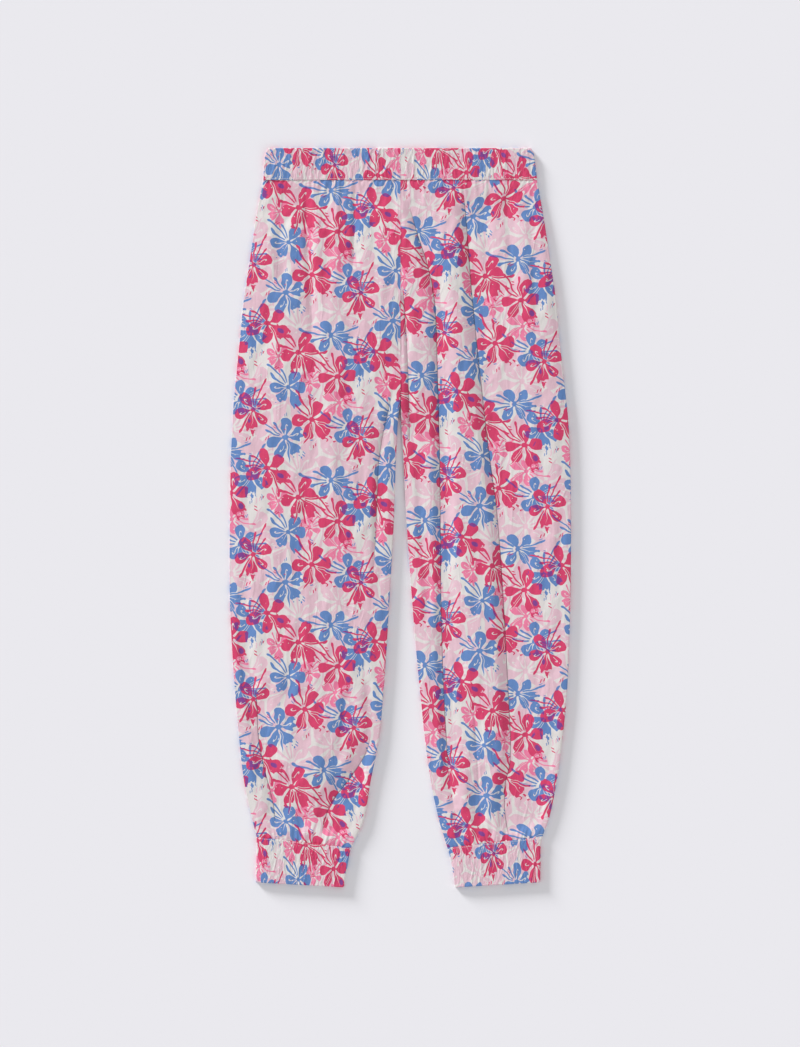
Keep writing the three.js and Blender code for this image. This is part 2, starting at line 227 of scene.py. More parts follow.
@dataclass(frozen=True)
class Fold:
    """One crease or ridge along a path of (x, down) points.

    left and right are its widths towards -x and +x, height is negative for a crease, tuck is the
    width of cloth that it hides and pinch the depth of the sharp line where the cloth laps.
    """

    name: str
    left: float
    right: float
    height: float
    path: tuple[Pair, ...]
    tuck: float = 0.0
    pinch: float = 0.0
    steps: int = 24
    fade: float = 0.2
    pinch_half: float = 1.1

    def line(self) -> Array:
        """The path as short straight stretches, on a smooth curve through its points.

        Returns:
            An array of (x, down) points.
        """
        points = np.array(self.path, float)
        padded = np.vstack([2 * points[0] - points[1], points, 2 * points[-1] - points[-2]])
        out = []
        for t in np.linspace(0, len(points) - 1, self.steps + 1):
            i = min(int(t), len(points) - 2)
            f = t - i
            a, b, c, d = padded[i : i + 4]
            out.append(b + 0.5 * f * (c - a + f * (2 * a - 5 * b + 4 * c - d + f * (3 * (b - c) + d - a))))
        return np.array(out)

    def nearest(self, x: Array, down: Array) -> tuple[Array, Array]:
        """Finds the nearest place on the path.

        Args:
            x: places across the garment.
            down: distances below the waistband's top.

        Returns:
            The signed distance from the path, positive towards +x, and the share of it passed.
        """
        line = self.line()
        best = np.full(x.shape, np.inf)
        signed, share = np.zeros_like(x), np.zeros_like(x)
        for i, (a, b) in enumerate(zip(line[:-1], line[1:])):
            run = b - a
            t = np.clip(((x - a[0]) * run[0] + (down - a[1]) * run[1]) / (run @ run), 0, 1)
            off_x, off_down = x - a[0] - t * run[0], down - a[1] - t * run[1]
            away = np.hypot(off_x, off_down)
            closer = away < best
            best = np.where(closer, away, best)
            signed = np.where(closer, away * np.sign(off_x), signed)
            share = np.where(closer, (i + t) / self.steps, share)
        return signed, share

    def apply(self, x: Array, down: Array) -> Array:
        """The height that the fold adds to the cloth.

        Args:
            x: places across the garment.
            down: distances below the waistband's top.

        Returns:
            The height at each of them, in millimetres.
        """
        off, strength = self.lap(x, down)
        half = np.where(off < 0, self.left, self.right)
        height = self.height * np.exp(-((off / half) ** 2))
        return strength * (height - self.pinch * np.exp(-((off / self.pinch_half) ** 2)))

    def lap(self, x: Array, down: Array) -> tuple[Array, Array]:
        """Signed distance from the fold's path, and how far the fold is formed, from 0 to 1."""
        off, share = self.nearest(x, down)
        return off, rises(0, self.fade, share) * falls(1 - self.fade, 1, share)


FOLDS = (
    Fold(
        "left_front_crease", 6.5, 20, -3.6,
        (
            (6, 54), (20, 105), (36, 155), (45, 205), (48, 290), (51, 400), (52, 500), (53, 600), (56, 700),
            (60, 770), (64, 840),
        ),
        tuck=9, pinch=0.5, fade=0.13,
    ),
    Fold("left_front_swell", 11, 14, 1.1, ((61, 50), (66, 200), (71, 345), (77, 500), (84, 620))),
    Fold(
        "left_side_crease", 9, 55, -4.4,
        (
            (81, 46), (87, 112), (94, 203), (113, 379), (125, 470), (133, 574), (140, 704), (143, 768),
            (142, 801), (136, 827), (136, 864), (142, 900),
        ),
        tuck=9, pinch=0.5, fade=0.07, steps=36,
    ),
    Fold("left_hip_crease", 5, 12, -1.7, ((139, 48), (142, 110), (148, 190))),
    Fold("left_outer_crease", 6, 11, -1.3, ((166, 60), (172, 130), (176, 220))),
    Fold(
        "left_crotch_crease", 3, 6, -1.3,
        ((3, 180), (8, 250), (11, 330), (12, 388)), tuck=5, pinch=0.4, fade=0.08,
    ),
    Fold("left_crotch_hook", 2, 3, -0.9, ((1, 386), (5, 402), (12, 402), (17, 394)), pinch=0.4),
    Fold("left_inner_crease", 6, 10, -1.4, ((16, 330), (22, 420), (30, 520), (36, 640))),
    Fold("left_shin_crease", 9, 12, -2.2, ((94, 690), (98, 770), (102, 830), (104, 892)), pinch=0.5),
    Fold("left_calf_ridge", 7, 8, 1.2, ((72, 780), (80, 840), (86, 884))),
    Fold("left_calf_crease", 6, 9, -1.6, ((57, 780), (67, 840), (75, 886)), pinch=0.3),
    Fold("left_ankle_crease", 8, 8, -1.9, ((168, 800), (163, 850), (160, 888))),
    Fold(
        "centre_seam_dip", 3, 3, -0.8,
        ((0, 44), (0, 120), (0, 197), (0, 249), (0, 300), (0, 330)), fade=0.05,
    ),
    Fold(
        "right_inner_crease", 4, 9, -1.9,
        ((-4, 290), (-18, 350), (-25, 385), (-29, 420), (-32, 500), (-38, 600)), tuck=5, pinch=0.3,
    ),
    Fold("right_hip_crease", 5, 11, -1.9, ((-124, 46), (-121, 120), (-117, 190), (-113, 260)), pinch=0.3),
    Fold("right_hip_ridge", 6, 7, 1.0, ((-107, 50), (-109, 130), (-106, 210))),
    Fold("right_belly_crease", 4, 8, -1.6, ((-59, 44), (-60, 100), (-62, 170)), pinch=0.4),
    Fold("right_belly_ridge", 6, 6, 0.9, ((-86, 60), (-85, 120), (-84, 190))),
    Fold("right_front_swell", 16, 14, 1.0, ((-26, 150), (-24, 210), (-28, 280))),
    Fold("right_side_crease", 6, 10, -1.4, ((-150, 48), (-156, 110), (-160, 190))),
    Fold("right_thigh_ridge", 16, 18, 0.9, ((-84, 150), (-86, 260), (-92, 430), (-98, 590))),
    Fold("right_outer_swell", 18, 20, 0.8, ((-150, 240), (-158, 360), (-162, 500), (-158, 620))),
    Fold("right_shin_crease", 7, 12, -2.4, ((-211, 600), (-203, 660), (-192, 725), (-186, 770)), pinch=0.4),
    Fold(
        "right_ankle_hollow", 8, 22, -3.4,
        ((-188, 700), (-186, 727), (-184, 768), (-175, 812), (-165, 852), (-161, 892)), tuck=9, pinch=0.6,
    ),
    Fold("right_ankle_crease", 11, 16, -3.0, ((-156, 812), (-143, 839), (-132, 857), (-122, 890)), pinch=0.9),
    Fold(
        "right_calf_hollow", 15, 30, -3.0,
        ((-36, 752), (-45, 786), (-67, 820), (-84, 842), (-93, 857), (-100, 880), (-103, 898)),
        tuck=7, pinch=0.4,
    ),
    Fold("right_calf_swell", 14, 14, 1.2, ((-104, 730), (-112, 790), (-118, 850))),
    Fold("right_inner_calf", 7, 9, -1.3, ((-70, 700), (-76, 760), (-82, 810))),
    Fold("right_ankle_tuck", 4, 6, -1.0, ((-128, 862), (-112, 870), (-98, 868)), pinch=0.3),
)


def fold_height(x: Array, down: Array) -> Array:
    """The height that all the folds add at each place, in millimetres."""
    return sum((fold.apply(x, down) for fold in FOLDS), np.zeros_like(x))


@dataclass(frozen=True)
class SeamCreases:
    """Uneven short creases that run from a gathered seam into the cloth beside it."""

    count: int
    depth: float
    shortest: float
    longest: float
    seed: int
    jitter: float = 0.3
    lean: float = 0.9
    narrow: float = 0.24
    widening: float = 0.5
    sunk: float = 0.3

    def height(self, share: Array, off: Array) -> Array:
        """Height that the creases add.

        Args:
            share: share of the way across the piece.
            off: distance from the gathered seam.

        Returns:
            The height at each place, in millimetres.
        """
        draw = np.random.RandomState(self.seed)
        total = np.zeros_like(share)
        for k in range(self.count):
            centre = (k + 0.5 + draw.uniform(-self.jitter, self.jitter)) / self.count
            length = self.shortest + (self.longest - self.shortest) * draw.uniform() ** 2
            depth = self.depth * draw.uniform(0.5, 1.0)
            lean = draw.uniform(-1, 1) * self.lean / self.count / length
            width = (self.narrow + self.widening * np.minimum(off / length, 1.0)) / self.count
            ridge = np.exp(-(((share - centre - lean * off) / width) ** 2))
            total += depth * falls(0, length, off) * ridge
        return total - self.sunk * self.depth * falls(0, self.longest / 2, off)


@dataclass(frozen=True)
class Ripples:
    """Uneven waves of cloth that lies loosely, mostly along the leg."""

    count: int
    height_mm: float
    across: Pair
    along: Pair
    tilt: float
    seed: int
    bend: float = 0.25
    skew: float = 0.2

    def height(self, x: Array, down: Array) -> Array:
        """Height of the waves.

        Args:
            x: places across the garment.
            down: distances below the waistband's top.

        Returns:
            The height at each place, in millimetres.
        """
        draw = np.random.RandomState(self.seed)
        total = np.zeros_like(x)
        for _ in range(self.count):
            pitch, reach = draw.uniform(*self.across), draw.uniform(*self.along)
            turn = math.radians(draw.uniform(-self.tilt, self.tilt))
            u = x * math.cos(turn) + down * math.sin(turn)
            v = down * math.cos(turn) - x * math.sin(turn)
            bend = np.sin(TAU * v / (reach * draw.uniform(0.7, 1.3)) + draw.uniform(0, TAU))
            bend *= self.bend * pitch
            patch = np.sin(TAU * (v / reach + self.skew * u / pitch) + draw.uniform(0, TAU))
            total += rises(-0.4, 1, patch) * np.sin(TAU * (u + bend) / pitch + draw.uniform(0, TAU))
        return self.height_mm * total / math.sqrt(self.count) * 2


# --- Cloth as closed walls ---


@dataclass
class Wall:
    """A closed wall of cloth: a grid of points for the face that shows and one for the other."""

    shown: Array
    under: Array
    place: Array
    gathering: float
    ring: bool = False
    laps: tuple[Array, Array] | None = None

    def mesh(self, name: str) -> Mesh:
        """Makes the wall's mesh, with where each point lies in the print as an attribute.

        Args:
            name: the mesh's name.

        Returns:
            A closed mesh in metres, its faces pointing out.
        """
        rows, columns = self.shown.shape[:2]
        ids = np.arange(rows * columns).reshape(rows, columns)
        if self.ring:
            ids = np.hstack([ids, ids[:, :1]])
        below = ids + rows * columns
        quads = [
            np.stack([ids[:-1, :-1], ids[:-1, 1:], ids[1:, 1:], ids[1:, :-1]], -1),
            np.stack([below[:-1, :-1], below[1:, :-1], below[1:, 1:], below[:-1, 1:]], -1),
            np.stack([ids[:1, 1:], ids[:1, :-1], below[:1, :-1], below[:1, 1:]], -1),
            np.stack([ids[-1:, :-1], ids[-1:, 1:], below[-1:, 1:], below[-1:, :-1]], -1),
        ]
        if not self.ring:
            quads.append(np.stack([ids[:-1, :1], ids[1:, :1], below[1:, :1], below[:-1, :1]], -1))
            quads.append(np.stack([ids[1:, -1:], ids[:-1, -1:], below[:-1, -1:], below[1:, -1:]], -1))
        faces = np.vstack([q.reshape(-1, 4) for q in quads])
        points = np.vstack([self.shown.reshape(-1, 3), self.under.reshape(-1, 3)])
        if self._signed_volume(points, faces) < 0:
            faces = faces[:, ::-1]
        mesh = bpy.data.meshes.new(name)
        mesh.from_pydata((points * MM).tolist(), [], faces.tolist())
        self._store(mesh)
        mesh.polygons.foreach_set("use_smooth", np.ones(len(faces), bool))
        mesh.set_sharp_from_angle(angle=math.radians(SHARP_EDGE))
        mesh.update()
        return mesh

    def line_at(self, y: float, face: Face) -> Array:
        """A line for stitches, along the row nearest to y, where the cloth lies flat.

        Args:
            y: where the row lies along the garment.
            face: FRONT for cloth that faces up, BACK for cloth that faces the floor.

        Returns:
            The line's points.
        """
        row = int(np.argmin(np.abs(self.shown[..., 1].mean(axis=1) - y)))
        out = self.shown[row] - self.under[row]
        out /= np.linalg.norm(out, axis=1, keepdims=True)
        up = 1 if face is Face.FRONT else -1
        return (self.shown[row] + STITCH_LIFT * out)[up * out[:, 2] > FACES_UP]

    def _store(self, mesh: Mesh) -> None:
        """Keeps each point's place in the print, its laps and its gathering on the mesh.

        Args:
            mesh: the wall's mesh.
        """
        place = np.tile(self.place.reshape(-1, 2), (2, 1))
        facts = {PRINT_PLACE: np.column_stack([place, np.zeros(len(place))])}
        if self.laps:
            for name, laps in zip((LAP_OFFSETS, LAP_WIDTHS), self.laps):
                facts[name] = np.tile(laps.reshape(-1, LAPS), (2, 1))
        for name, values in facts.items():
            mesh.attributes.new(name, "FLOAT_VECTOR", "POINT").data.foreach_set("vector", values.ravel())
        gathering = mesh.attributes.new(GATHERING, "FLOAT", "POINT")
        gathering.data.foreach_set("value", np.full(len(place), self.gathering))

    @staticmethod
    def _signed_volume(points: Array, faces: Array) -> float:
        """Six times the volume inside the faces.

        Args:
            points: the corners.
            faces: four corners' numbers for each face.

        Returns:
            The volume, negative if the faces point in.
        """
        a, b, c, d = (points[faces[:, i]] for i in range(4))
        first = np.einsum("ij,ij->i", a, np.cross(b, c)).sum()
        return float(first + np.einsum("ij,ij->i", a, np.cross(c, d)).sum())


@dataclass(frozen=True)
class Weight:
    """A kind of cloth piece: its wall, the outer radii of its turned edges, and its make-up.

    pressed_roll is the radius of a turned edge towards -x, roll that of one towards +x.
    """

    wall: float
    roll: float
    pressed_roll: float
    plain_inside: bool
    pressed_reach: float = 6.0

    def lowered(self, from_left: Array) -> Array:
        """How much lower the face lies beside the -x edge, which is pressed flatter."""
        return 2 * (self.roll - self.pressed_roll) * np.exp(-from_left / self.pressed_reach)


LEG_WEIGHT = Weight(wall=1.4, roll=2.6, pressed_roll=1.8, plain_inside=False, pressed_reach=12.0)
BAND_WEIGHT = Weight(wall=2.6, roll=2.9, pressed_roll=2.75, plain_inside=True)
CUFF_WEIGHT = Weight(wall=2.2, roll=3.1, pressed_roll=2.4, plain_inside=True)


@dataclass(frozen=True)
class Spots:
    """Where the points of a piece's flat part lie.

    nominal is the row's distance down at the middle of the piece, and from_left and from_right
    are the distances to the cloth's turned edges on the -x and +x sides.
    """

    x: Array
    down: Array
    nominal: Array
    share: Array
    from_left: Array
    from_right: Array


HeightRule = Callable[[Spots], Array]


@dataclass
class Section:
    """Rows of points across a piece, from its side seam to its inseam or centre seam.

    nominal holds each row's distance down at the middle of the piece, slant how much lower the
    row is at its inner end, and inner_roll how far the inner edge is a turned one.
    """

    hand: Hand
    face: Face
    weight: Weight
    outline: Outline
    nominal: Array
    slant: Array
    inner_roll: Array
    gap: float
    turn_steps: int = 8
    squareness: Pair = (0.26, 0.55)
    thinnest: float = 0.4

    def __post_init__(self) -> None:
        """Works out where each row's two ends lie."""
        self.down_outer = self.nominal - self.slant / 2
        self.down_inner = self.nominal + self.slant / 2
        self.outer = self.outline.edge(self.hand, True, self.down_outer)
        self.inner = np.maximum(self.outline.edge(self.hand, False, self.down_inner), self.gap / 2)

    def radius(self, last: bool) -> float:
        """Outer radius of the turned edge at the rows' first or last end."""
        return self.weight.roll if (self.hand is Hand.RIGHT) == last else self.weight.pressed_roll

    def down(self, x: Array) -> Array:
        """Distance down at distances from the centre line, row by row."""
        t = (x - self.inner[:, None]) / (self.outer - self.inner)[:, None]
        return self.down_inner[:, None] + (self.down_outer - self.down_inner)[:, None] * t

    def grid(self, columns: int, rule: HeightRule) -> tuple[Array, Array]:
        """Places every point of the piece.

        Args:
            columns: how many columns of faces the flat part has.
            rule: gives the height of the face that shows.

        Returns:
            The grids of the face that shows and of the other.
        """
        shares = np.tile(np.linspace(0, 1, columns + 1), (len(self.nominal), 1))
        flat_outer = (self.outer - self.radius(False))[:, None]
        flat_inner = (self.inner + self.radius(True))[:, None]
        x = flat_outer + (flat_inner - flat_outer) * shares
        from_inner = (x - flat_inner) + (1 - self.inner_roll[:, None]) * FAR
        nominal = np.broadcast_to(self.nominal[:, None], x.shape)
        sides = (from_inner, flat_outer - x)[:: self.hand.value]
        top = rule(Spots(self.hand.value * x, self.down(x), nominal, shares, *sides))
        if self.face is Face.FRONT:
            under = (2 * self.weight.roll if self.weight.plain_inside else top) - self.weight.wall
            under = np.minimum(under, top - self.thinnest)
        else:
            under = np.full_like(x, self.weight.wall)
        first = self._turn(top[:, :1], under[:, :1], False)
        last = self._turn(top[:, -1:], under[:, -1:], True)
        shown_x, shown_z, under_x, under_z = map(np.hstack, zip(first, (x, top, x, under), last))
        return self._points(shown_x, shown_z), self._points(under_x, under_z)

    def _turn(self, top: Array, under: Array, last: bool) -> list[Array]:
        """Places the quarter turn of the cloth at one end of each row.

        Args:
            top: heights of the face that shows where the turn starts.
            under: heights of the other face there.
            last: True for the rows' inner end, which is turned only as far as inner_roll says.

        Returns:
            x and z of the face that shows, then of the other.
        """
        roll = self.radius(last)
        inward, edge, amount = (1.0, self.inner, self.inner_roll) if last else (-1.0, self.outer, np.ones(1))
        edge, amount = edge[:, None], amount[:, None]
        angle = np.arange(self.turn_steps)[None, :] / self.turn_steps * (math.pi / 2)
        angle = angle[:, ::-1] if last else angle
        up = 1.0 if self.face is Face.FRONT else -1.0
        square = self.squareness[(self.hand is Hand.RIGHT) == last]
        risen, reached = np.sin(angle) ** square, np.cos(angle) ** square
        flat_x = edge + inward * roll * np.sin(angle)
        sides = []
        for radius, full in ((roll, top), (roll - self.weight.wall, under)):
            curl_x = edge + inward * (roll - radius * reached)
            curl_z = roll + up * (self.gap / 2 * np.cos(angle)) + (full - roll) * risen
            sides += [flat_x + (curl_x - flat_x) * amount, full + (curl_z - full) * amount]
        return sides

    def _points(self, x: Array, z: Array) -> Array:
        """Points in the row frame, still in millimetres, with y from the waist's top edge."""
        return np.stack([self.hand.value * x, -self.down(x), z], -1)


@dataclass(frozen=True)
class Garment:
    """What every piece needs: the measures and how the loose cloth lies."""

    measures: Measures
    ripples: Ripples = Ripples(count=9, height_mm=0.27, across=(24, 60), along=(90, 260), tilt=14, seed=11)
    crumples: Ripples = Ripples(count=18, height_mm=0.18, across=(10, 26), along=(30, 90), tilt=60, seed=17)
    band_creases: SeamCreases = SeamCreases(count=28, depth=0.9, shortest=14, longest=105, seed=5)
    cuff_creases: SeamCreases = SeamCreases(count=20, depth=0.8, shortest=14, longest=96, seed=8)

    def seed(self, hand: Hand, face: Face) -> int:
        """A number of its own for each hand and face, for what is uneven."""
        return 10 + 2 * hand.value + (1 if face is Face.BACK else 0)


def place_in_print(grid: Array, start: Pair, stretch: float) -> Array:
    """Where each point of a piece lies in the printed cloth before it was sewn.

    Args:
        grid: the face that shows, in millimetres.
        start: the piece's place in the print.
        stretch: width of cloth gathered into a width of the piece.

    Returns:
        Pairs of millimetres across and along the cloth.
    """
    lengths = np.linalg.norm(np.diff(grid[..., [0, 2]], axis=1), axis=-1)
    steps = lengths * np.sign(grid[:, 1:, 0] - grid[:, :-1, 0])
    run = np.hstack([np.zeros((len(grid), 1)), np.cumsum(steps, 1)])
    middle = grid.shape[1] // 2
    run = run - run[:, middle : middle + 1] + grid[:, middle : middle + 1, 0]
    return np.stack([start[0] + stretch * run, start[1] + grid[..., 1]], -1)


def add_object(name: str, data: ID) -> Object:
    """Puts an object in the scene.

    Args:
        name: its name.
        data: its mesh, light or camera.

    Returns:
        The object.
    """
    made = bpy.data.objects.new(name, data)
    bpy.context.scene.collection.objects.link(made)
    return made


# --- The pieces ---


@dataclass
class ClothPiece:
    """What all cloth pieces share: where they are, and where in the print they were cut."""

    garment: Garment
    hand: Hand
    print_start: Pair
    face: Face = Face.FRONT

    def by_face(self, choices: tuple[Any, Any]) -> Any:
        """The first choice for a front piece, the second for a back one."""
        return choices[self.face is Face.BACK]

    def names(self, kind: str) -> tuple[str, list[str]]:
        """The CAD node that the piece stands for, and what it rests on."""
        below = self.by_face((f"{kind}_back_{self.hand.word}", "floor"))
        return f"{kind}_{self.face.value}_{self.hand.word}", [below]

    def closed(self, shown: Array, under: Array, fullness: float, **facts: Any) -> Wall:
        """Makes a wall of two grids.

        Args:
            shown: the face that shows, in millimetres from the waist's top edge.
            under: the other face.
            fullness: width of cloth gathered into a width of the piece.
            facts: the wall's other fields.

        Returns:
            The wall, in the row frame's millimetres.
        """
        place = place_in_print(shown, self.print_start, fullness)
        raised = np.array([0.0, self.garment.measures.length / 2, 0.0])
        return Wall(shown + raised, under + raised, place, **facts)

    def dress(self, node: str, wall: Wall, cloth: Material) -> Object:
        """Puts a finished wall in the scene as a piece of the garment.

        Args:
            node: the CAD node that it stands for.
            wall: the wall, in place.
            cloth: its material.

        Returns:
            The piece.
        """
        mesh = wall.mesh(f"{node}_cloth")
        mesh.materials.append(cloth)
        piece = add_object(mesh.name, mesh)
        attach(piece, BODY)
        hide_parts(node)
        return piece


@dataclass
class LegPanel(ClothPiece):
    """One leg panel, from the waistband's seam to the cuff's.

    row_counts and columns are for a front panel and a back one. crown, lit_reach and shaded_reach
    are for the hip and the calf, and puff is how soon the crown rises from the two seams.
    """

    row_counts: tuple[int, int] = (250, 140)
    columns: tuple[int, int] = (170, 90)
    easing: float = 0.62
    crown: Pair = (4.8, 7.0)
    puff: Pair = (100.0, 75.0)
    fullest: float = 720.0
    lit_reach: Pair = (150.0, 260.0)
    shaded_reach: Pair = (9.0, 22.0)
    shaded_lift: float = 1.6
    edge_quiet: float = 12.0
    crotch_spread: float = 60.0
    roll_from: Pair = (-12.0, 28.0)
    least: float = 3.15
    seam_dip: float = 0.4
    seam_reach: float = 2.5
    wave_reach: float = 30.0
    back_lift: float = 0.7
    back_folds: float = 0.35
    back_waves: float = 0.7
    gathering: float = 0.25
    lap_reach: float = 30.0
    cut: Pair = (0.25, 0.88)
    cut_area: float = 0.185

    def rows(self) -> Array:
        """Spaces the panel's rows, closer together near its two gathered seams.

        Returns:
            Each row's distance down.
        """
        m = self.garment.measures
        start, end = m.band_height + m.seam_gap / 2, m.leg_end - m.seam_gap / 2
        t = np.linspace(0, 1, self.by_face(self.row_counts))
        return start + (end - start) * (t - self.easing * np.sin(TAU * t) / TAU)

    def height(self, spots: Spots) -> Array:
        """Height of the front panel's face.

        Args:
            spots: where its points lie.

        Returns:
            The height at each of them, in millimetres.
        """
        m, g = self.garment.measures, self.garment
        from_band, from_cuff = self.from_seams(spots)
        loose = fold_height(spots.x, spots.down)
        waves = g.ripples.height(spots.x, spots.down) + g.crumples.height(spots.x, spots.down)
        loose += waves * rises(0, self.wave_reach, from_band)
        loose += g.band_creases.height(spots.share, from_band) + g.cuff_creases.height(spots.share, from_cuff)
        for off in (from_band, from_cuff):
            loose -= self.seam_dip * np.exp(-off / self.seam_reach)
        lower = rises(m.crotch, self.fullest, spots.nominal)
        puffed = rises(-8, self.puff[0], from_band) * (1 - np.exp(-np.maximum(from_cuff, 0) / self.puff[1]))
        height, reach, lit = (
            hip + (calf - hip) * lower for hip, calf in (self.crown, self.shaded_reach, self.lit_reach)
        )
        edge = np.exp(-spots.from_right / reach)
        crown = height * puffed * (1 - np.exp(-self.from_lit_edge(spots) / lit)) * (1 - edge)
        crown += self.shaded_lift * edge * puffed
        room = 2 * LEG_WEIGHT.roll - LEG_WEIGHT.lowered(spots.from_left) + crown
        room = room + self.quiet(spots) * loose - self.least
        return self.least + (room + np.hypot(room, 0.5)) / 2

    def relief(self, spots: Spots) -> Array:
        """How far the back panel's creases lift its face off the floor.

        Args:
            spots: where its points lie.

        Returns:
            The lift at each of them, in millimetres.
        """
        g = self.garment
        from_band, from_cuff = self.from_seams(spots)
        folds = fold_height(-spots.x, spots.down)
        waves = g.ripples.height(-spots.x, spots.down) + g.band_creases.height(1 - spots.share, from_band)
        waves += g.cuff_creases.height(1 - spots.share, from_cuff)
        lift = np.maximum(-(self.back_folds * folds + self.back_waves * waves), 0)
        return self.back_lift * self.quiet(spots) * np.tanh(lift)

    def from_seams(self, spots: Spots) -> tuple[Array, Array]:
        """Distances from the waistband's seam and from the cuff's."""
        m = self.garment.measures
        return spots.nominal - m.band_height, m.leg_end - spots.nominal

    def quiet(self, spots: Spots) -> Array:
        """How far the creases are let in, from 0 at the turned edges to 1."""
        return rises(0, self.edge_quiet, np.minimum(spots.from_left, spots.from_right))

    def from_lit_edge(self, spots: Spots) -> Array:
        """Distance from the -x edge of the leg or, above the crotch, of the whole garment.

        Args:
            spots: where the panel's points lie.

        Returns:
            The distance of each of them.
        """
        if self.hand is Hand.RIGHT:
            return spots.from_left
        m = self.garment.measures
        joined = falls(m.crotch - self.crotch_spread, m.crotch + self.crotch_spread, spots.nominal)
        return np.minimum(spots.from_left, spots.x) + m.hip_half * joined

    def wall(self) -> Wall:
        """Works out the panel's closed wall.

        Returns:
            The wall, in the row frame's millimetres.
        """
        m = self.garment.measures
        nominal = self.rows()
        slant = m.leg_slant * rises(m.slant_start, m.leg_end, nominal)
        roll = rises(m.crotch + self.roll_from[0], m.crotch + self.roll_from[1], nominal)
        section = Section(self.hand, self.face, LEG_WEIGHT, LEG_OUTLINE, nominal, slant, roll, m.seam_gap)
        shown, under = section.grid(self.by_face(self.columns), self.by_face((self.height, self.relief)))
        laps = self.laps(shown) if self.face is Face.FRONT else None
        return self.closed(shown, under, 1.0, gathering=self.gathering, laps=laps)

    def laps(self, shown: Array) -> tuple[Array, Array]:
        """Where the panel's cloth laps over itself.

        Args:
            shown: the face that shows, with the waist's top edge at y 0.

        Returns:
            The signed distance from each lapped fold, and the width of cloth that it hides.
        """
        offsets, widths = np.zeros((2, *shown.shape[:2], LAPS))
        lapped = [fold for fold in FOLDS if fold.tuck and fold.path[-1][0] * self.hand.value > 0]
        for k, fold in enumerate(lapped[:LAPS]):
            off, strength = fold.lap(shown[..., 0], -shown[..., 1])
            offsets[..., k] = np.clip(off, -self.lap_reach, self.lap_reach)
            widths[..., k] = fold.tuck * strength
        return offsets, widths

    def build(self, cloth: Material) -> list[Object]:
        """Builds and dresses the panel.

        Args:
            cloth: its material.

        Returns:
            The panel alone.
        """
        node, below = self.names("leg")
        piece = self.dress(node, self.wall(), cloth)
        return [piece]


@dataclass(frozen=True)
class CasingGathers:
    """The fine crinkles that elastic draws into a waistband or cuff."""

    count: int
    rise: float
    wander: float
    seed: int
    jitter: float = 0.33
    settled: float = 0.45
    pressed: float = 0.25
    press_reach: float = 0.09

    def height(self, share: Array, down: Array, start: float, end: float) -> Array:
        """Height of the crinkles, pressed flat at the casing's two edges.

        Args:
            share: share of the way across the piece.
            down: each row's nominal distance down.
            start: the casing's upper edge.
            end: its lower edge.

        Returns:
            The height at each place, in millimetres.
        """
        draw = np.random.RandomState(self.seed)
        along = (down - start) / (end - start)
        total = np.zeros_like(share)
        for k in range(self.count):
            centre = (k + 0.5 + draw.uniform(-self.jitter, self.jitter)) / self.count
            sway = self.wander * np.sin(TAU * (along * draw.uniform(0.3, 1.1) + draw.uniform())) / self.count
            width = draw.uniform(0.2, 0.42) / self.count
            tall = draw.uniform(0.55, 1.15)
            tall *= 0.8 + 0.2 * np.sin(TAU * (along * draw.uniform(0.5, 2) + draw.uniform()))
            total += self.rise * tall * np.exp(-(((share - centre - sway) / width) ** 2))
        total -= self.settled * self.rise
        free = rises(0, self.press_reach, along) * falls(0.9, 1, along)
        return total * (self.pressed + (1 - self.pressed) * free)


@dataclass
class Casing:
    """What a waistband quarter and a cuff share: gathered cloth over flat elastic."""

    weight: Weight
    gathers: CasingGathers
    start: float
    end: float
    edge_dip: float
    fold_radius: float = 1.2
    folded_at_start: bool = False
    folded_at_end: bool = False
    dip_reach: float = 1.6
    fold_lift: float = 0.2
    back_lift: float = 0.25

    def rows(self, count: int) -> Array:
        """Distances down the casing, closer together at its edges."""
        t = (1 - np.cos(np.linspace(0, math.pi, count))) / 2
        return self.start + (self.end - self.start) * t

    def quiet(self, spots: Spots) -> Array:
        """How far the crinkles are let in, from 0 at the turned edges and the centre seam to 1."""
        turned = rises(-0.5, 5, np.minimum(spots.from_left, spots.from_right))
        return turned * rises(-0.5, 4, np.abs(spots.x))

    def relief(self, spots: Spots) -> Array:
        """How far the crinkles lift the face beneath off the floor, in millimetres."""
        crinkles = self.gathers.height(1 - spots.share, spots.nominal, self.start, self.end)
        return np.clip(self.back_lift - crinkles, 0, 2 * self.back_lift) * self.quiet(spots)

    def height(self, spots: Spots) -> Array:
        """Height of the face that shows.

        Args:
            spots: where its points lie.

        Returns:
            The height at each of them, in millimetres.
        """
        crinkles = self.gathers.height(spots.share, spots.nominal, self.start, self.end)
        face = 2 * self.weight.roll - self.weight.lowered(spots.from_left) + self.quiet(spots) * crinkles
        offs = spots.nominal - self.start, self.end - spots.nominal
        for off, folded in zip(offs, (self.folded_at_start, self.folded_at_end)):
            if folded:
                inside = np.clip(1 - off / self.fold_radius, 0, 1)
                middle = self.weight.roll + self.fold_lift
                face = middle + (face - middle) * (1 - inside**4 * 0.98) ** 0.25
            else:
                face = face - self.edge_dip * np.exp(-off / self.dip_reach)
        return face


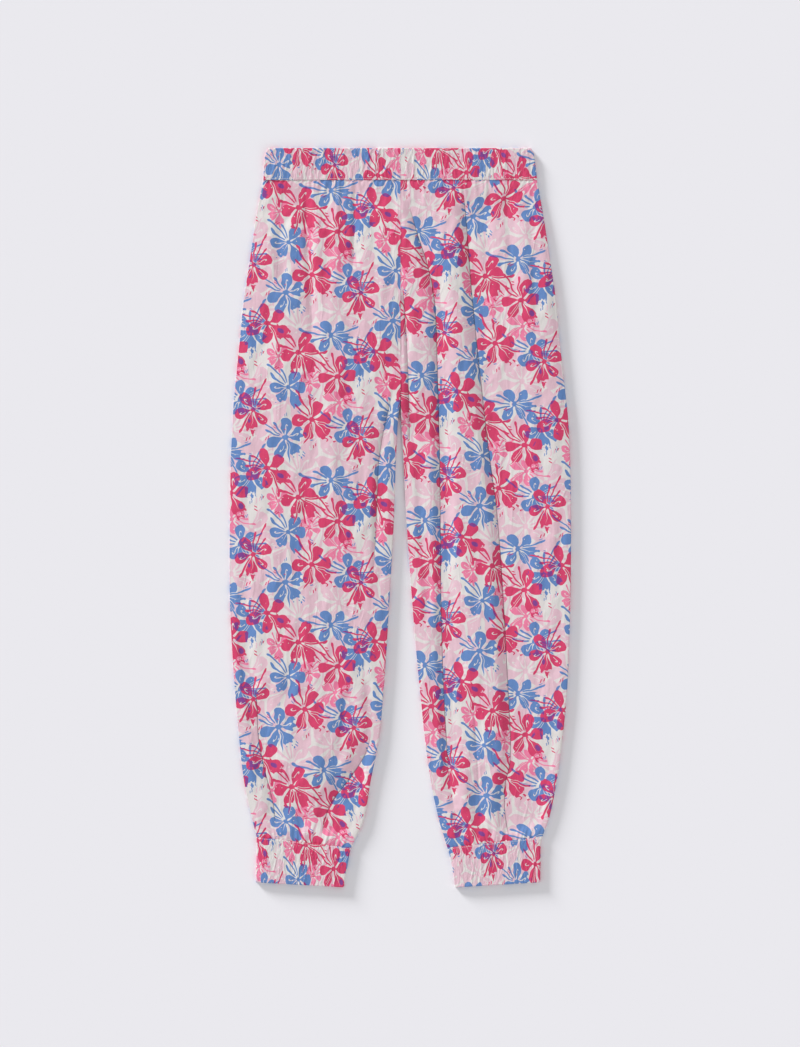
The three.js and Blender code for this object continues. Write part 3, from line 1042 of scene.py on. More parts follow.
@dataclass
class WaistbandPiece(ClothPiece):
    """One quarter of the elastic waistband, from side seam to centre seam."""

    row_count: int = 34
    columns: tuple[int, int] = (230, 150)
    fullness: float = 1.35
    gathers: CasingGathers = CasingGathers(count=34, rise=0.5, wander=0.6, seed=20)
    edge_dip: float = 0.2

    def wall(self) -> Wall:
        """Works out the quarter's closed wall.

        Returns:
            The wall, in the row frame's millimetres.
        """
        m = self.garment.measures
        gathers = replace(self.gathers, seed=self.gathers.seed + self.hand.value)
        end = m.band_height - m.seam_gap / 2
        casing = Casing(BAND_WEIGHT, gathers, 0.0, end, edge_dip=self.edge_dip, folded_at_start=True)
        nominal = casing.rows(self.row_count)
        flat = np.zeros_like(nominal)
        section = Section(self.hand, self.face, BAND_WEIGHT, BAND_OUTLINE, nominal, flat, flat, m.seam_gap)
        rule = self.by_face((casing.height, casing.relief))
        return self.closed(*section.grid(self.by_face(self.columns), rule), self.fullness, gathering=1.0)

    def build(self, cloth: Material, thread: Material) -> list[Object]:
        """Builds and dresses the quarter, and the stitches along its seam.

        Args:
            cloth: the cloth's material.
            thread: the thread's material.

        Returns:
            The quarter and its stitches.
        """
        m = self.garment.measures
        node, below = self.names("waistband")
        wall = self.wall()
        piece = self.dress(node, wall, cloth)
        line = wall.line_at(m.length / 2 - m.band_height + STITCHES_FROM_SEAM, self.face)
        row = StitchRow(f"{node}_stitches", line, seed=self.garment.seed(self.hand, self.face))
        return [piece, row.build(thread)]


@dataclass
class Cuff(ClothPiece):
    """One elastic cuff, a flattened tube gathered all round."""

    row_count: int = 40
    columns: tuple[int, int] = (200, 110)
    fullness: float = 1.4
    gathers: CasingGathers = CasingGathers(count=36, rise=0.3, wander=1.7, seed=40)
    edge_dip: float = 0.12
    stitch_seed: int = 20

    def wall(self) -> Wall:
        """Works out the cuff's closed ring.

        Returns:
            The wall, in the row frame's millimetres.
        """
        m = self.garment.measures
        start = m.leg_end + m.seam_gap / 2
        gathers = replace(self.gathers, seed=self.gathers.seed + self.hand.value)
        casing = Casing(CUFF_WEIGHT, gathers, start, m.hem, edge_dip=self.edge_dip, folded_at_end=True)
        nominal = casing.rows(self.row_count)
        slant = m.leg_slant + (m.hem_slant - m.leg_slant) * (nominal - start) / (m.hem - start)
        turned = np.ones_like(nominal)
        halves = []
        for face, columns, rule in zip(Face, self.columns, (casing.height, casing.relief)):
            section = Section(self.hand, face, CUFF_WEIGHT, CUFF_OUTLINE, nominal, slant, turned, gap=0.0)
            halves.append(section.grid(columns, rule))
        shown, under = (np.hstack([front, back[:, -2:0:-1]]) for front, back in zip(*halves))
        return self.closed(shown, under, self.fullness, gathering=1.0, ring=True)

    def build(self, cloth: Material, thread: Material) -> list[Object]:
        """Builds and dresses the cuff, and the stitches along its seam, front and back.

        Args:
            cloth: the cloth's material.
            thread: the thread's material.

        Returns:
            The cuff and its two rows of stitches.
        """
        m = self.garment.measures
        node = f"cuff_{self.hand.word}"
        wall = self.wall()
        made = [self.dress(node, wall, cloth)]
        for face in Face:
            line = wall.line_at(m.length / 2 - m.leg_end - STITCHES_FROM_SEAM, face)
            seed = self.stitch_seed + self.garment.seed(self.hand, face)
            made.append(StitchRow(f"{node}_{face.value}_stitches", line, seed=seed).build(thread))
        return made


# --- Materials ---


def operator(operation: str, swapped: bool = False, clamp: bool = False) -> Callable[..., Wire]:
    """A method of Wire that adds one Math node.

    Args:
        operation: what the node works out.
        swapped: True where the wire is the last operand.
        clamp: True to keep the result between 0 and 1.

    Returns:
        The method.
    """

    def apply(wire: Wire, *others: Value) -> Wire:
        """Adds the node."""
        values = (*others, wire) if swapped else (wire, *others)
        return wire.sketch.math(operation, *values, clamp=clamp)

    return apply


@dataclass(frozen=True)
class Wire:
    """A node's output. Arithmetic with it adds Math nodes.

    a | b is the larger of the two, and a > b is 1 where it holds and 0 elsewhere.
    """

    socket: NodeSocket

    __add__ = operator("ADD")
    __sub__ = operator("SUBTRACT")
    __rsub__ = operator("SUBTRACT", swapped=True)
    __mul__ = operator("MULTIPLY")
    __truediv__ = operator("DIVIDE")
    __rtruediv__ = operator("DIVIDE", swapped=True)
    __mod__ = operator("FLOORED_MODULO")
    __or__ = operator("MAXIMUM")
    __ror__ = operator("MAXIMUM", swapped=True)
    __gt__ = operator("GREATER_THAN")
    __lt__ = operator("LESS_THAN")
    __abs__ = operator("ABSOLUTE")
    lesser = operator("MINIMUM")
    without = operator("SUBTRACT", clamp=True)
    rounded = operator("ROUND")
    root = operator("SQRT")
    sine = operator("SINE")
    cosine = operator("COSINE")
    angle = operator("ARCTAN2")
    zigzag = operator("PINGPONG")

    @property
    def sketch(self) -> NodeSketch:
        """The sketch of the tree that the node is in."""
        return NodeSketch(self.socket.id_data)

    def step(self, low: Value, high: Value) -> Wire:
        """A smooth step from 0 at low to 1 at high."""
        feeds = {0: self, 1: low, 2: high}
        return self.sketch.wire("ShaderNodeMapRange", feeds, interpolation_type="SMOOTHSTEP")

    def length(self, other: Wire) -> Wire:
        """The length of the two as a vector."""
        return (self * self + other * other).root()


@dataclass(frozen=True)
class NodeSketch:
    """Short calls that add nodes to a tree and link them."""

    tree: NodeTree

    def feed(self, node: Node, feeds: Feeds) -> None:
        """Links a node's inputs to wires, or sets them.

        Args:
            node: the node.
            feeds: a wire, number or other value for each input, by name or place.
        """
        for key, value in feeds.items():
            if isinstance(value, Wire):
                self.tree.links.new(value.socket, node.inputs[key])
            else:
                node.inputs[key].default_value = value

    def node(self, kind: str, feeds: Feeds | None = None, **settings: Any) -> Node:
        """Adds a node.

        Args:
            kind: its type.
            feeds: what its inputs get.
            settings: its own settings.

        Returns:
            The node.
        """
        made = self.tree.nodes.new(kind)
        for key, value in settings.items():
            setattr(made, key, value)
        self.feed(made, feeds or {})
        return made

    def wire(self, kind: str, feeds: Feeds | None = None, output: str | int = 0, **settings: Any) -> Wire:
        """Adds a node as node does, and gives one of its outputs."""
        return Wire(self.node(kind, feeds, **settings).outputs[output])

    def math(self, operation: str, *values: Value, clamp: bool = False) -> Wire:
        """Adds a Math node."""
        return self.wire("ShaderNodeMath", dict(enumerate(values)), operation=operation, use_clamp=clamp)

    def vector(self, operation: str, *values: Value, output: str = "Vector") -> Wire:
        """Adds a Vector Math node."""
        return self.wire("ShaderNodeVectorMath", dict(enumerate(values)), output, operation=operation)

    def scaled(self, vector: Value, factor: Value) -> Wire:
        """A vector times a number."""
        return self.wire("ShaderNodeVectorMath", {0: vector, "Scale": factor}, operation="SCALE")

    def split(self, vector: Wire) -> tuple[Wire, ...]:
        """A vector's three numbers."""
        return tuple(Wire(socket) for socket in self.node("ShaderNodeSeparateXYZ", {0: vector}).outputs)

    def join(self, x: Value, y: Value, z: Value = 0.0) -> Wire:
        """A vector from three numbers."""
        return self.wire("ShaderNodeCombineXYZ", {0: x, 1: y, 2: z})

    def pick(self, share: Value, a: Value, b: Value) -> Wire:
        """A mix of two vectors."""
        return self.wire("ShaderNodeMix", {0: share, 4: a, 5: b}, 1, data_type="VECTOR")

    def tint(self, share: Value, a: Value, b: Value) -> Wire:
        """A mix of two colours."""
        return self.wire("ShaderNodeMix", {0: share, 6: a, 7: b}, 2, data_type="RGBA")

    def noise(self, vector: Value, scale: float, detail: float = 1.0, output: str | int = 0) -> Wire:
        """Adds a Noise Texture node."""
        return self.wire("ShaderNodeTexNoise", {"Vector": vector, "Scale": scale, "Detail": detail}, output)

    def attribute(self, name: str, output: str = "Vector") -> Wire:
        """Reads an attribute of the mesh."""
        return self.wire("ShaderNodeAttribute", output=output, attribute_name=name)


def new_material(name: str, settings: Feeds) -> tuple[Material, Node, NodeSketch]:
    """Makes a material.

    Args:
        name: its name.
        settings: its shader's inputs.

    Returns:
        The material, its shader and a sketch of its node tree.
    """
    made = bpy.data.materials.new(name)
    made.use_nodes = True
    sketch = NodeSketch(made.node_tree)
    shader = made.node_tree.nodes["Principled BSDF"]
    sketch.feed(shader, settings)
    return made, shader, sketch


@dataclass(frozen=True)
class Blossom:
    """One flower of the repeat: its place and turn (mm, degrees), its radius (mm) and its variety."""

    x: float
    y: float
    turn: float
    radius: float
    variety: float


@dataclass(frozen=True)
class Ink:
    """One printed colour and its flowers, in groups in which no flower reaches another."""

    name: str
    colour: Triple
    cover: float
    groups: tuple[tuple[Blossom, ...], ...]


CRIMSON = Ink(
    "crimson", (0.61, 0.04, 0.13), 1.0,
    (
        (Blossom(20, 150, -45, 31, 1.0), Blossom(38, 62, -55, 31, 4.0), Blossom(100, 38, -105, 29, 5.0)),
        (Blossom(70, 118, -62, 31, 2.0), Blossom(118, 150, -28, 31, 3.0)),
    ),
)
BLUE = Ink(
    "blue", (0.108, 0.218, 0.485), 1.0,
    (
        (Blossom(98, 142, -100, 28, 11.0), Blossom(84, 52, -20, 28, 12.0), Blossom(6, 104, -60, 28, 14.0)),
        (Blossom(62, 172, -5, 28, 13.0), Blossom(2, 38, -40, 29, 15.0)),
    ),
)
ROSE = Ink(
    "rose", (0.76, 0.19, 0.33), 1.0,
    ((Blossom(72, 84, 160, 22, 21.0), Blossom(134, 108, -80, 20, 22.0), Blossom(34, 112, -150, 19, 23.0)),),
)
BLUSH = Ink(
    "blush", (0.7, 0.45, 0.535), 0.9,
    (
        (
            Blossom(44, 44, 10, 37, 31.0), Blossom(98, 66, 120, 37, 32.0), Blossom(8, 86, 240, 37, 33.0),
            Blossom(52, 120, 60, 37, 34.0), Blossom(100, 164, 190, 37, 35.0), Blossom(22, 178, 300, 37, 36.0),
            Blossom(130, 14, 80, 37, 37.0), Blossom(72, 12, 200, 33, 38.0),
        ),
    ),
)


@dataclass(frozen=True)
class Repeat:
    """The print's repeat: its width and height, and how far each column drops."""

    width: float = 140.0
    height: float = 188.0
    drop: float = 37.0


@dataclass(frozen=True)
class Sector:
    """One of the equal sectors of a flower's turn.

    out and across are the distances along and across the sector's middle line, facing is how much
    it faces the flower's direction, from -1 to 1, and one and two are random numbers.
    """

    out: Wire
    across: Wire
    facing: Wire
    one: Wire
    two: Wire


@dataclass
class FlowerStamp:
    """The node group that draws one flower from an offset to its middle.

    Of six petals' places one is left empty. A long torn petal lies opposite it, ragged and smooth
    petals lie between, a spray of long stamens leaves through the empty place and a few shorter
    ones cross the torn petal. Lengths are shares of the flower's radius, or for a petal's own parts
    shares of its length. A pair of numbers is where a soft edge starts and where it is complete.
    """

    petals: int = 6
    petal_sway: float = 0.3
    petal_curl: float = 0.05
    petal_length: float = 0.76
    petal_spread: float = 0.16
    torn_extra: float = 0.26
    petal_half: float = 0.213
    widening: float = 0.045
    torn_widening: float = 0.02
    profile_ends: Pair = (0.08, 0.0)
    profile: tuple[Pair, ...] = (
        (0.16, 0.17), (0.38, 0.6), (0.62, 1.0), (0.82, 0.96), (0.95, 0.6),
    )
    teeth: float = 4.2
    petal_edge: Pair = (-0.008, 0.012)
    petal_gap: Pair = (-0.036, -0.022)
    heart: Pair = (0.13, 0.11)
    vein_off: float = 0.02
    vein_chance: float = 0.74
    hook_at: float = 0.54
    hook_radius: float = 0.15
    hook_chance: float = 0.58
    spot_at: float = 0.6
    spot_chance: float = 0.62
    speck_scale: float = 5.5
    stamens: int = 16
    stamen_sway: float = 0.1
    stamen_curl: float = 0.19
    stamen_spread: float = 0.2
    stamen_half: float = 0.026
    front_reach: float = 0.98
    front_chance: float = 0.72
    stamen_edge: Pair = (-0.006, 0.008)
    stamen_gap: Pair = (-0.022, -0.014)
    club: Pair = (0.064, 0.054)
    club_length: float = 2.2
    ticks: int = 10
    tick_sway: float = 0.3
    tick_reach: float = 1.12
    tick_apart: float = 0.05
    tick_chance: float = 0.72
    wobble: float = 0.28
    wobble_scale: float = 1.6
    lean: float = 0.018
    variety_step: float = 3.7

    def __post_init__(self) -> None:
        """Builds the group."""
        self.tree = bpy.data.node_groups.new("flower_stamp", "ShaderNodeTree")
        face = self.tree.interface
        for name in ("Offset", "Form"):
            face.new_socket(name, in_out="INPUT", socket_type="NodeSocketVector")
        for name in ("Ink", "Bare", "Spot"):
            face.new_socket(name, in_out="OUTPUT", socket_type="NodeSocketFloat")
        self.sketch = NodeSketch(self.tree)
        self._draw()

    def _draw(self) -> None:
        """Draws petals, veins, stamens and ticks, and links the group's outputs."""
        s = self.sketch
        given = s.node("NodeGroupInput").outputs
        turn, radius, self.variety = s.split(Wire(given["Form"]))
        scaled = s.scaled(Wire(given["Offset"]), 1.0 / radius)
        spun = s.wire("ShaderNodeVectorRotate", {"Vector": scaled, "Angle": turn}, rotation_type="Z_AXIS")
        self.shifted = s.vector("ADD", spun, s.join(0.0, 0.0, self.variety * self.variety_step))
        cloud = s.noise(self.shifted, self.wobble_scale, output="Color")
        wobble = s.vector("SUBTRACT", cloud, (0.5, 0.5, 0.5))
        x, y, _ = s.split(s.vector("ADD", spun, s.scaled(wobble, self.wobble)))
        self.reach = x.length(y)
        angle = y.angle(x) / TAU
        self.angle = (angle * TAU + self.variety).sine() * self.lean + angle
        petal, bare, spot = self._petals()
        line, margin = self._stamens()
        ink = petal.without(margin) | (line | self._ticks())
        s.node("NodeGroupOutput", {"Ink": ink, "Bare": bare | margin, "Spot": spot})

    def _sector(self, count: int, sway: float, curl: float) -> Sector:
        """Splits the turn into equal sectors, each with its own chances.

        Args:
            count: how many sectors. The first one's middle is the way that the flower is turned.
            sway: how far a sector's middle may lean, in radians.
            curl: how much the sectors curl away from the flower's direction on their way out.

        Returns:
            The sector that the point is in.
        """
        s = self.sketch
        turned = self.angle * float(count)
        index = turned.rounded()
        wrapped = index % float(count)
        seed = s.join(wrapped, self.variety, float(count))
        chances = s.wire("ShaderNodeTexWhiteNoise", {"Vector": seed}, "Color", noise_dimensions="3D")
        one, two, three = s.split(chances)
        middle = wrapped * (TAU / count)
        away = (three - 0.5) * sway + (turned - index) * (TAU / count)
        bow = middle.sine() * -1.0 + (one - 0.5)
        away = self.reach * self.reach * bow * curl + away
        return Sector(self.reach * away.cosine(), self.reach * away.sine(), middle.cosine(), one, two)

    def _petals(self) -> tuple[Wire, Wire, Wire]:
        """Draws the petals.

        Returns:
            Their ink, where veins and gaps leave the cloth bare, and a darker spot.
        """
        s = self.sketch
        petal = self._sector(self.petals, self.petal_sway, self.petal_curl)
        across, one, two = petal.across, petal.one, petal.two
        first = petal.facing > 0.8
        torn = first | ((petal.facing > 0.3) * two.step(0.55, 0.65))
        along = petal.out / (one * self.petal_spread + (first * self.torn_extra + self.petal_length))
        teeth = (across * self.teeth + two * 3.0).zigzag(0.5)
        rough = s.noise(self.shifted, 5.0) - 0.5
        tears = rough + teeth * (first * 0.35 + 0.2)
        ragged = tears * torn * along.step(0.5, 0.95) + (rough * 0.06 + along)
        profile = s.node("ShaderNodeFloatCurve", {"Value": ragged})
        points = profile.mapping.curves[0].points
        for place, half in enumerate(self.profile_ends):
            points[place].location = (float(place), half)
        for t, half in self.profile:
            points.new(t, half)
        profile.mapping.update()
        widest = two * self.widening + (torn * self.torn_widening + self.petal_half)
        within = Wire(profile.outputs[0]) * widest - abs(across)
        present = (petal.facing > -0.8) * ragged.step(1.0, 0.985)
        inside = within.step(*self.petal_edge) * present
        bare = self._vein(along, across, two) | self._hook(along, across, one - first)
        bare = bare | self._specks()
        inked = inside.without(bare) | self.reach.step(*self.heart)
        gaps = (within.step(*self.petal_gap) * present).without(inside) * ragged.step(0.55, 0.4)
        return inked, (bare * inside) | gaps, self._spot(along, across, two) * inside

    def _vein(self, along: Wire, across: Wire, chance: Wire) -> Wire:
        """Draws a thin bare line from the middle of the flower into a petal.

        Args:
            along: distance out along the petal.
            across: distance across it.
            chance: the petal's random number.

        Returns:
            How bare the point is.
        """
        half = along * -0.032 + (chance * 0.016 + 0.01)
        line = (half - abs(across - self.vein_off)).step(-0.004, 0.006)
        return line * along.step(0.12, 0.2) * (chance > self.vein_chance)

    def _hook(self, along: Wire, across: Wire, chance: Wire) -> Wire:
        """Draws a small curled bare line inside a smooth petal.

        Args:
            along: distance out along the petal.
            across: distance across it.
            chance: the petal's random number.

        Returns:
            How bare the point is.
        """
        out, side = along - self.hook_at, across * 3.0
        ring = abs(out.length(side) - self.hook_radius).step(0.045, 0.025)
        return ring * (out + side * 0.8 > -0.03) * (chance > self.hook_chance)

    def _spot(self, along: Wire, across: Wire, chance: Wire) -> Wire:
        """A small dark blot on some petals."""
        side = (across - (chance * 0.5 - 0.3)) * 1.7
        return (along - self.spot_at).length(side).step(0.15, 0.12) * (chance > self.spot_chance)

    def _specks(self) -> Wire:
        """Draws tiny bare dots scattered over the petals.

        Returns:
            How bare the point is.
        """
        feeds = {"Vector": self.shifted, "Scale": self.speck_scale}
        cells = self.sketch.node("ShaderNodeTexVoronoi", feeds, feature="F1").outputs
        red, _, _ = self.sketch.split(Wire(cells["Color"]))
        return Wire(cells["Distance"]).step(0.15, 0.09) * (red > 0.45)

    def _stamens(self) -> tuple[Wire, Wire]:
        """Draws long thin curved lines with club ends.

        Returns:
            The lines' ink, and the bare margin beside those in front.
        """
        stamen = self._sector(self.stamens, self.stamen_sway, self.stamen_curl)
        out, across, facing = stamen.out, stamen.across, stamen.facing
        behind = facing < -0.85
        before = (facing > 0.6) * (facing < 0.95) * (stamen.two > self.front_chance)
        end = stamen.one * self.stamen_spread + ((facing * -7.0 - 5.72) * behind + before * self.front_reach)
        gap = out / (end | 0.1) * 0.021 + self.stamen_half - abs(across)
        within = out.step(0.2, 0.26) * out.step(end, end - 0.02)
        club = ((out - end) / self.club_length).length(across).step(*self.club)
        line = (gap.step(*self.stamen_edge) * within) | club
        return line * (behind | before), gap.step(*self.stamen_gap) * within * before

    def _ticks(self) -> Wire:
        """Draws pairs of short marks beyond some petals.

        Returns:
            The marks' ink.
        """
        tick = self._sector(self.ticks, self.tick_sway, 0.0)
        beside = abs(abs(tick.across) - self.tick_apart).step(0.026, 0.014)
        along = abs(tick.across * 0.6 + tick.out - (tick.one * 0.2 + self.tick_reach)).step(0.08, 0.065)
        return beside * along * (tick.facing * 0.3 + tick.two > self.tick_chance)


@dataclass(frozen=True)
class PrintedCloth:
    """Thin plain-woven viscose, printed all over with flowers, with painted shade along its lapped folds."""

    ground: Triple = (0.68, 0.645, 0.635)
    overprint: Triple = (0.13, 0.045, 0.27)
    roughness: float = 0.82
    sheen: float = 0.12
    sheen_roughness: float = 0.6
    gloss: float = 0.25
    uneven_cover: float = 0.08
    overlay: float = 0.85
    slub_shade: float = 0.1
    thread_pitch: float = 0.42
    thread_bump: Pair = (0.25, 0.04)
    crinkle_bump: Pair = (0.6, 1.6)
    crease_pitch: Pair = (15.0, 60.0)
    crease_height: float = 0.22
    broad_pitch: Pair = (24.0, 40.0)
    broad_height: float = 1.35
    # painted shadow: how much darker the thin line where the cloth laps is drawn, then a band on the lap's -x
    # side
    slit: float = 0.56
    slit_shade: float = 0.14
    repeat: Repeat = Repeat()

    def material(self) -> Material:
        """Builds the material.

        Returns:
            A material that reads each piece's place in the print, and paints shade along the lapped folds.
        """
        sheen = {"Sheen Weight": self.sheen, "Sheen Roughness": self.sheen_roughness}
        shine = {"Roughness": self.roughness, "Specular IOR Level": self.gloss}
        made, shader, s = new_material("printed_cloth", {**sheen, **shine})
        place = s.attribute(PRINT_PLACE)
        hidden, slit = self._laps(s)
        place = s.vector("ADD", place, s.join(hidden, 0.0))
        # the lapped folds' painted shadow darkens the printed colour
        colour = s.scaled(self._colour(place), 1.0 - slit)
        s.feed(shader, {"Base Color": colour, "Normal": self._weave(place)})
        return made

    def _laps(self, s: NodeSketch) -> tuple[Wire, Wire]:
        """Reads the lapped folds beside a point, and the shade painted beside them.

        Args:
            s: the sketch of the material's tree.

        Returns:
            The width of cloth that they hide, and the painted shadow in and beside each lap.
        """
        hidden: Value = 0.0
        slit: Value = 0.0
        for off, width in zip(s.split(s.attribute(LAP_OFFSETS)), s.split(s.attribute(LAP_WIDTHS))):
            hidden = off.step(-0.1, 0.1) * width + hidden
            # painted shadow in the thin line where the cloth laps
            line = abs(off + 0.3).step(1.0, 0.25) * self.slit
            # painted shade in a band on the -x side of each lap
            shade = off.step(-6.5, -0.3) * (off < 0.0)
            slit = slit | ((line | (shade * self.slit_shade)) * width.step(0.4, 8.0))
        return hidden, slit

    def _nearest(self, place: Wire, group: Sequence[Blossom]) -> tuple[Wire, Wire]:
        """Finds a group's nearest flower.

        Args:
            place: where the point lies in the print, sheared so that the repeat is upright.
            group: the flowers.

        Returns:
            The offset to the flower's middle, and its turn, radius and variety.
        """
        s = place.sketch
        half = (self.repeat.width / 2, self.repeat.height / 2, 1.0)
        shear = self.repeat.drop / self.repeat.width
        best: Value = None
        for blossom in group:
            middle = (blossom.x, blossom.y + blossom.x * shear, 0.0)
            offset = s.vector("WRAP", s.vector("SUBTRACT", place, middle), half, tuple(-h for h in half))
            away = s.vector("LENGTH", offset, output="Value")
            form = (math.radians(-blossom.turn), blossom.radius, blossom.variety)
            if best is None:
                best, least, facts = offset, away, s.vector("ADD", form, (0.0, 0.0, 0.0))
                continue
            closer = away < least
            best, facts = s.pick(closer, best, offset), s.pick(closer, facts, form)
            least = away.lesser(least)
        x, y, _ = s.split(best)
        return s.join(x, x * -shear + y), facts

    def _colour(self, place: Wire) -> Wire:
        """Prints each ink over the ones before it.

        Args:
            place: where the point lies in the print.

        Returns:
            The printed colour.
        """
        s = place.sketch
        stamp = FlowerStamp().tree
        x, y, _ = s.split(place)
        sheared = s.join(x, x * (self.repeat.drop / self.repeat.width) + y)
        grain = s.noise(place, 0.9, 2.0).step(0.2, 0.5)
        ground = (*self.ground, 1.0)
        colour: Value = ground
        shares: dict[str, Wire] = {}
        for ink in (BLUSH, ROSE, BLUE, CRIMSON):
            share: Value = 0.0
            for group in ink.groups:
                offset, form = self._nearest(sheared, group)
                flower = s.node("ShaderNodeGroup", node_tree=stamp)
                s.feed(flower, {"Offset": offset, "Form": form})
                drawn = flower.outputs
                colour = s.tint(Wire(drawn["Bare"]) * self.overlay, colour, ground)
                share = share | Wire(drawn["Ink"])
            shares[ink.name] = share * (grain * self.uneven_cover + (ink.cover - self.uneven_cover))
            colour = s.tint(shares[ink.name], colour, (*ink.colour, 1.0))
        crossed = shares["blue"] * shares["crimson"]
        patchy = crossed * s.noise(place, 0.07).step(0.44, 0.5)
        patchy = patchy | (Wire(drawn["Spot"]) * shares["crimson"])
        colour = s.tint(patchy * self.overlay, colour, (*self.overprint, 1.0))
        slub = s.noise(s.vector("MULTIPLY", place, (0.35, 1.4, 1.0)), 0.8, 3.0)
        return s.scaled(colour, slub * self.slub_shade + (1 - self.slub_shade / 2))

    def _weave(self, place: Wire) -> Wire:
        """Bump of the threads, and of the fine crinkle that gathered cloth has more of.

        Args:
            place: where the point lies in the print.

        Returns:
            The normal.
        """
        s = place.sketch
        x, y, _ = s.split(place)
        threads = (x * (TAU / self.thread_pitch)).sine() * (y * (TAU / self.thread_pitch)).sine()
        crinkle = s.noise(s.vector("MULTIPLY", place, (0.4, 0.13, 1.0)), 0.9, 2.5)
        height = crinkle * s.attribute(GATHERING, "Fac") + self._creased(place)
        normal: Feeds = {}
        for (strength, distance), rise in ((self.thread_bump, threads), (self.crinkle_bump, height)):
            feeds = {"Strength": strength, "Distance": distance * MM, "Height": rise, **normal}
            normal = {"Normal": s.wire("ShaderNodeBump", feeds)}
        return normal["Normal"]

    def _creased(self, place: Wire) -> Wire:
        """Fine crease lines of thin cloth that has been folded, sharper in some patches.

        Args:
            place: where the point lies in the print.

        Returns:
            The lines' height.
        """
        s = place.sketch
        pitches = (self.crease_pitch, self.broad_pitch)
        fine, broad = (s.vector("MULTIPLY", place, (1 / u, 1 / v, 1.0)) for u, v in pitches)
        ridge = abs(s.noise(fine, 1.0, 1.5) - 0.5).step(0.075, 0.0)
        patch = s.noise(place, 0.018).step(0.42, 0.6)
        return ridge * patch * self.crease_height + s.noise(broad, 1.0, 2.0) * self.broad_height


@dataclass(frozen=True)
class Thread:
    """Spun off-white sewing thread."""

    colour: Triple = (0.78, 0.75, 0.73)
    roughness: float = 0.7
    sheen: float = 0.2
    twist_pitch: float = 0.5
    twist_shade: float = 0.16

    def material(self) -> Material:
        """Builds the material.

        Returns:
            A material with painted shade in the grooves along the ply's twist.
        """
        shine = {"Roughness": self.roughness, "Sheen Weight": self.sheen}
        made, shader, s = new_material("sewing_thread", shine)
        coordinates = s.wire("ShaderNodeTexCoord", output="Object")
        scale = 1 / (self.twist_pitch * MM) / WAVE_RATE
        feeds = {"Vector": coordinates, "Scale": scale}
        ply_shade = s.wire("ShaderNodeTexWave", feeds, "Fac", bands_direction="DIAGONAL")
        # painted shade in the grooves between the plies
        shade = ply_shade * self.twist_shade + (1 - self.twist_shade)
        s.feed(shader, {"Base Color": s.scaled(self.colour, shade)})
        return made


# --- Sewing ---


@dataclass
class StitchRow:
    """A row of lockstitches along a line on the cloth, made by Geometry Nodes."""

    name: str
    line: Array
    pitch: float = 2.8
    length: float = 2.1
    thickness: float = 0.42
    seed: int = 3
    sides: int = 6
    rings: int = 2
    smallest: Triple = (0.85, 0.85, 0.9)
    largest: Triple = (1.1, 1.1, 1.08)

    def build(self, material: Material) -> Object:
        """Lays the stitches and turns them into a plain mesh.

        Args:
            material: the thread's material.

        Returns:
            The finished row.
        """
        mesh = bpy.data.meshes.new(f"{self.name}_line")
        edges = [(i, i + 1) for i in range(len(self.line) - 1)]
        mesh.from_pydata((self.line * MM).tolist(), edges, [])
        carrier = add_object(mesh.name, mesh)
        tree, sockets = self._tree(material)
        modifier = carrier.modifiers.new("stitches", "NODES")
        modifier.node_group = tree
        for key, value in (("Pitch", self.pitch), ("Length", self.length), ("Thickness", self.thickness)):
            modifier[sockets[key]] = value * MM
        modifier[sockets["Seed"]] = self.seed
        depsgraph = bpy.context.evaluated_depsgraph_get()
        made = bpy.data.meshes.new_from_object(carrier.evaluated_get(depsgraph))
        made.name = self.name
        carrier.modifiers.clear()
        bpy.data.objects.remove(carrier)
        piece = add_object(self.name, made)
        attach(piece, BODY)
        return piece

    def _tree(self, material: Material) -> tuple[NodeTree, dict[str, str]]:
        """Draws the node tree that lays a stitch at each step of the line.

        Args:
            material: the thread's material.

        Returns:
            The tree, and the identifiers of its numbers' sockets.
        """
        tree = bpy.data.node_groups.new(f"{self.name}_stitches", "GeometryNodeTree")
        face = tree.interface
        face.new_socket("Geometry", in_out="INPUT", socket_type="NodeSocketGeometry")
        sockets = {}
        for key in ("Pitch", "Length", "Thickness"):
            sockets[key] = face.new_socket(key, in_out="INPUT", socket_type="NodeSocketFloat").identifier
        sockets["Seed"] = face.new_socket("Seed", in_out="INPUT", socket_type="NodeSocketInt").identifier
        face.new_socket("Geometry", in_out="OUTPUT", socket_type="NodeSocketGeometry")
        s = NodeSketch(tree)
        given = {name: Wire(socket) for name, socket in s.node("NodeGroupInput").outputs.items()}
        curve = s.wire("GeometryNodeMeshToCurve", {"Mesh": given["Geometry"]})
        spacing = {"Curve": curve, "Length": given["Pitch"]}
        spaced = s.wire("GeometryNodeResampleCurve", spacing, mode="LENGTH")
        sizes = {"Vertices": self.sides, "Side Segments": self.rings, "Depth": given["Length"]}
        stitch = s.wire("GeometryNodeMeshCylinder", {**sizes, "Radius": given["Thickness"] * 0.5}, "Mesh")
        tangent = s.wire("GeometryNodeInputTangent")
        along = s.wire("FunctionNodeAlignRotationToVector", {"Vector": tangent}, axis="Z")
        limits = {0: self.smallest, 1: self.largest, "Seed": given["Seed"]}
        uneven = s.wire("FunctionNodeRandomValue", limits, data_type="FLOAT_VECTOR")
        laying = {"Points": spaced, "Instance": stitch, "Rotation": along, "Scale": uneven}
        laid = s.wire("GeometryNodeInstanceOnPoints", laying)
        real = s.wire("GeometryNodeRealizeInstances", {0: laid})
        finish = s.wire("GeometryNodeSetMaterial", {"Geometry": real, "Material": material})
        s.node("NodeGroupOutput", {0: finish})
        return tree, sockets


# --- Studio ---


